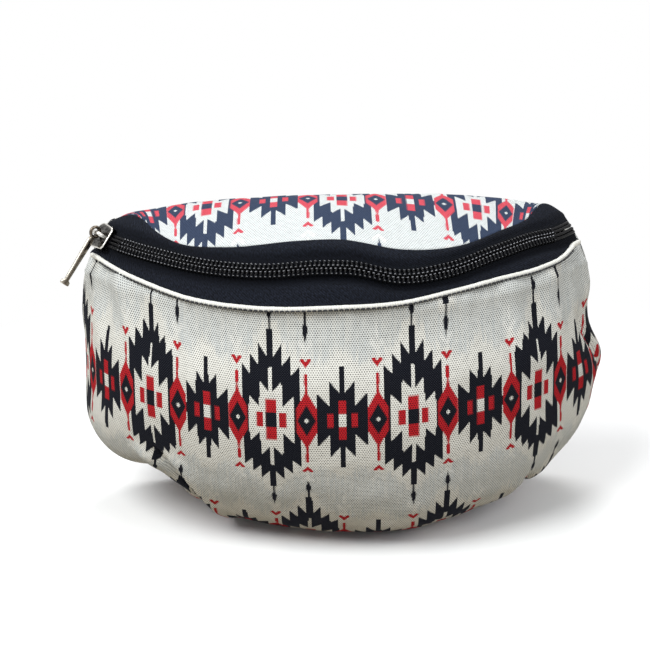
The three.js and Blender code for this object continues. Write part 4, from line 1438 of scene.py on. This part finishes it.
def arc(centre, radius, start, end, steps):
    angles = [start + (end - start) * k / steps for k in range(steps + 1)]
    return [(centre[0] + radius * cosine(a), centre[1] + radius * sine(a)) for a in angles]


def horn_world(side):
    return lambda a, b, across: (side * a, b, HORN_BASE + WEB_WIDTH / 2 + across)


def horn_path(radius):
    middle = radius + WEB_THICKNESS / 2
    base = STRAP_BASE + WEB_THICKNESS / 2
    bend = STRAP_BEND - WEB_THICKNESS / 2
    return [
        (radius + STRAP_BEND + HORN_FLANGE, base),
        *arc((middle + bend, base + bend), bend, 270, 180, 8),
        *arc(HORN_CENTRE, middle, 0, 90 + HORN_OVERLAP, 48),
    ]


def saddle_world(side):
    return lambda a, b, across: (side * STRAP_CENTRE + across, a, b)


def saddle_path(pile):
    half = WEB_THICKNESS / 2
    inner = STRAP_BASE + half
    fold = STRAP_GAP / 2 + half
    centre = (inner + fold, STRAP_BOTTOM + STRAP_GAP / 2)
    outer = pile + 2 * (PATCH + GAP) + half
    patch_low = STRAP_TOP - STRAP_PATCH_LENGTH
    return [
        (inner, STRAP_TOP),
        (inner, centre[1]),
        *arc(centre, fold, 180, 360, 20)[1:-1],
        (inner + 2 * fold, centre[1]),
        (inner + 2 * fold, patch_low - 12),
        (outer, patch_low - 2),
        (outer, STRAP_TOP),
    ]


for word, side, radius in (("inner", 1, HORN_HALF_WIDTH), ("outer", -1, OUTER_LOOP)):
    add_strap(f"horn_loop_{word}", f"horn_strap_{word}", STRAP, horn_path(radius), horn_world(side))
for kind, face in (("pile", PILE_FACE), ("hook", HOOK_FACE)):
    path = arc(HORN_CENTRE, face + PATCH / 2, 90 - HORN_OVERLAP, 90 + HORN_OVERLAP, 30)
    add_strap(f"horn_{kind}", f"horn_{kind}_patch", GRIP, path, horn_world(1))
for side, word in SIDES:
    world = saddle_world(side)
    pile = STRAP_BASE + WEB_THICKNESS + GAP
    add_strap(f"saddle_webbing_{word}", f"saddle_strap_{word}", STRAP, saddle_path(pile), world)
    for kind, low in (("pile", pile), ("hook", pile + PATCH + GAP)):
        path = [(low + PATCH / 2, STRAP_TOP), (low + PATCH / 2, STRAP_TOP - STRAP_PATCH_LENGTH)]
        add_strap(f"saddle_{kind}_{word}", f"strap_{kind}_patch_{word}", GRIP, path, world)

# Foam and foil behind the back cloth keep their solids

for name, material in (("back_insulation", FOAM_FINISH), ("back_lining", FOIL_FINISH)):
    materials = frame["nodes"][name].data.materials
    materials.clear()
    materials.append(material)

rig.padded(front_piece, 0.7)
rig.padded(top_piece, 0.6)

# Floor, light and camera

FLOOR_BOUNCE = (0.3, 0.26, 0.2, 1.0)  # the floor as the bag sees it, so that the underside stays dim
FLOOR_SIZE = 6.0  # in metres, as are the next three
FLOOR_LEVEL = -0.0004
WHITE_FROM = 0.16
WHITE_AT = 0.34
WORLD_STRENGTH = 0.38
CAMERA_PLACE = (-6.01, -731.76, 360.95)
CAMERA_ELEVATION = 20.0
CAMERA_ROLL = -1.2
FOCAL_PIXELS = 1713.0
FRAME_PIXELS = 650.0
SENSOR = 36.0


def seen_directly(graph):
    """1 for the rays that show a surface itself, and 0 for those that carry its light to the bag."""
    kinds = ("Is Camera Ray", "Is Glossy Ray", "Is Transmission Ray")
    return most(*(graph.node("ShaderNodeLightPath", output=kind) for kind in kinds))


def add_floor():
    """A pale floor that turns plain white away from the bag and keeps its shadow."""
    finish = Finish("floor", 0.9, specular=0.0)
    seen = seen_directly(finish)
    finish.feed(finish.surface.inputs["Base Color"], finish.mix(seen, FLOOR_BOUNCE, WHITE))
    distance = finish.node("ShaderNodeVectorMath", {0: finish.place()}, "Value", operation="LENGTH")
    far = distance.remap(WHITE_FROM, WHITE_AT)
    white = finish.node("ShaderNodeEmission", {"Color": WHITE, "Strength": 1.0})
    lit = Value(finish, finish.surface.outputs[0])
    blend = finish.node("ShaderNodeMixShader", {0: far * seen, 1: lit, 2: white})
    finish.feed(finish.tree.nodes["Material Output"].inputs["Surface"], blend)
    mesh = bpy.data.meshes.new("floor")
    signs = ((-1, -1), (1, -1), (1, 1), (-1, 1))
    corners = [(x * FLOOR_SIZE, y * FLOOR_SIZE, FLOOR_LEVEL) for x, y in signs]
    mesh.from_pydata(corners, [], [(0, 1, 2, 3)])
    mesh.materials.append(finish.material)
    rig.stage(link_object("floor", mesh))


def add_light(name, place, target, size, power, colour=(1, 1, 1)):
    lamp = bpy.data.lights.new(name, "AREA")
    lamp.shape = "DISK"
    lamp.size = size
    lamp.energy = power
    lamp.color = colour
    holder = link_object(name, lamp)
    holder.location = place
    holder.rotation_euler = (Vector(target) - Vector(place)).to_track_quat("-Z", "Y").to_euler()


def add_world():
    world = bpy.data.worlds.new("studio")
    world.use_nodes = True
    graph = Graph(world.node_tree)
    inputs = world.node_tree.nodes["Background"].inputs
    graph.feed(inputs["Strength"], seen_directly(graph).remap(0.0, 1.0, WORLD_STRENGTH, 1.0))
    inputs["Color"].default_value = WHITE
    bpy.context.scene.world = world


def add_camera():
    data = bpy.data.cameras.new("camera")
    data.sensor_width = SENSOR
    data.lens = FOCAL_PIXELS / FRAME_PIXELS * SENSOR
    data.clip_start = 0.05
    camera = link_object("camera", data)
    back = Vector((0, -cosine(CAMERA_ELEVATION), sine(CAMERA_ELEVATION)))
    right = Vector((1, 0, 0))
    turned_right = cosine(CAMERA_ROLL) * right + sine(CAMERA_ROLL) * back.cross(right)
    turn = Matrix((turned_right, back.cross(turned_right), back)).transposed().to_4x4()
    camera.matrix_world = Matrix.Translation([v * MM for v in CAMERA_PLACE]) @ turn
    bpy.context.scene.camera = camera


add_floor()
add_world()
add_camera()
target = (0, 0, 0.08)
add_light("key", (-0.68, -0.55, 1.15), target, 0.9, 18.0, (0.98, 1.0, 1.0))
add_light("fill", (0.9, -0.6, 0.8), target, 0.8, 6.0, (0.95, 0.98, 1.0))
add_light("rim", (0.1, 0.6, 1.0), target, 0.6, 5.0)

bpy.context.scene.view_settings.view_transform = "Standard"

visual_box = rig.bounds()


def plain(box):
    return [[float(value) for value in corner] for corner in box]


with open("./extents.json", "w") as sizes:
    json.dump({"cad": plain(cad_box), "visual": plain(visual_box)}, sizes)
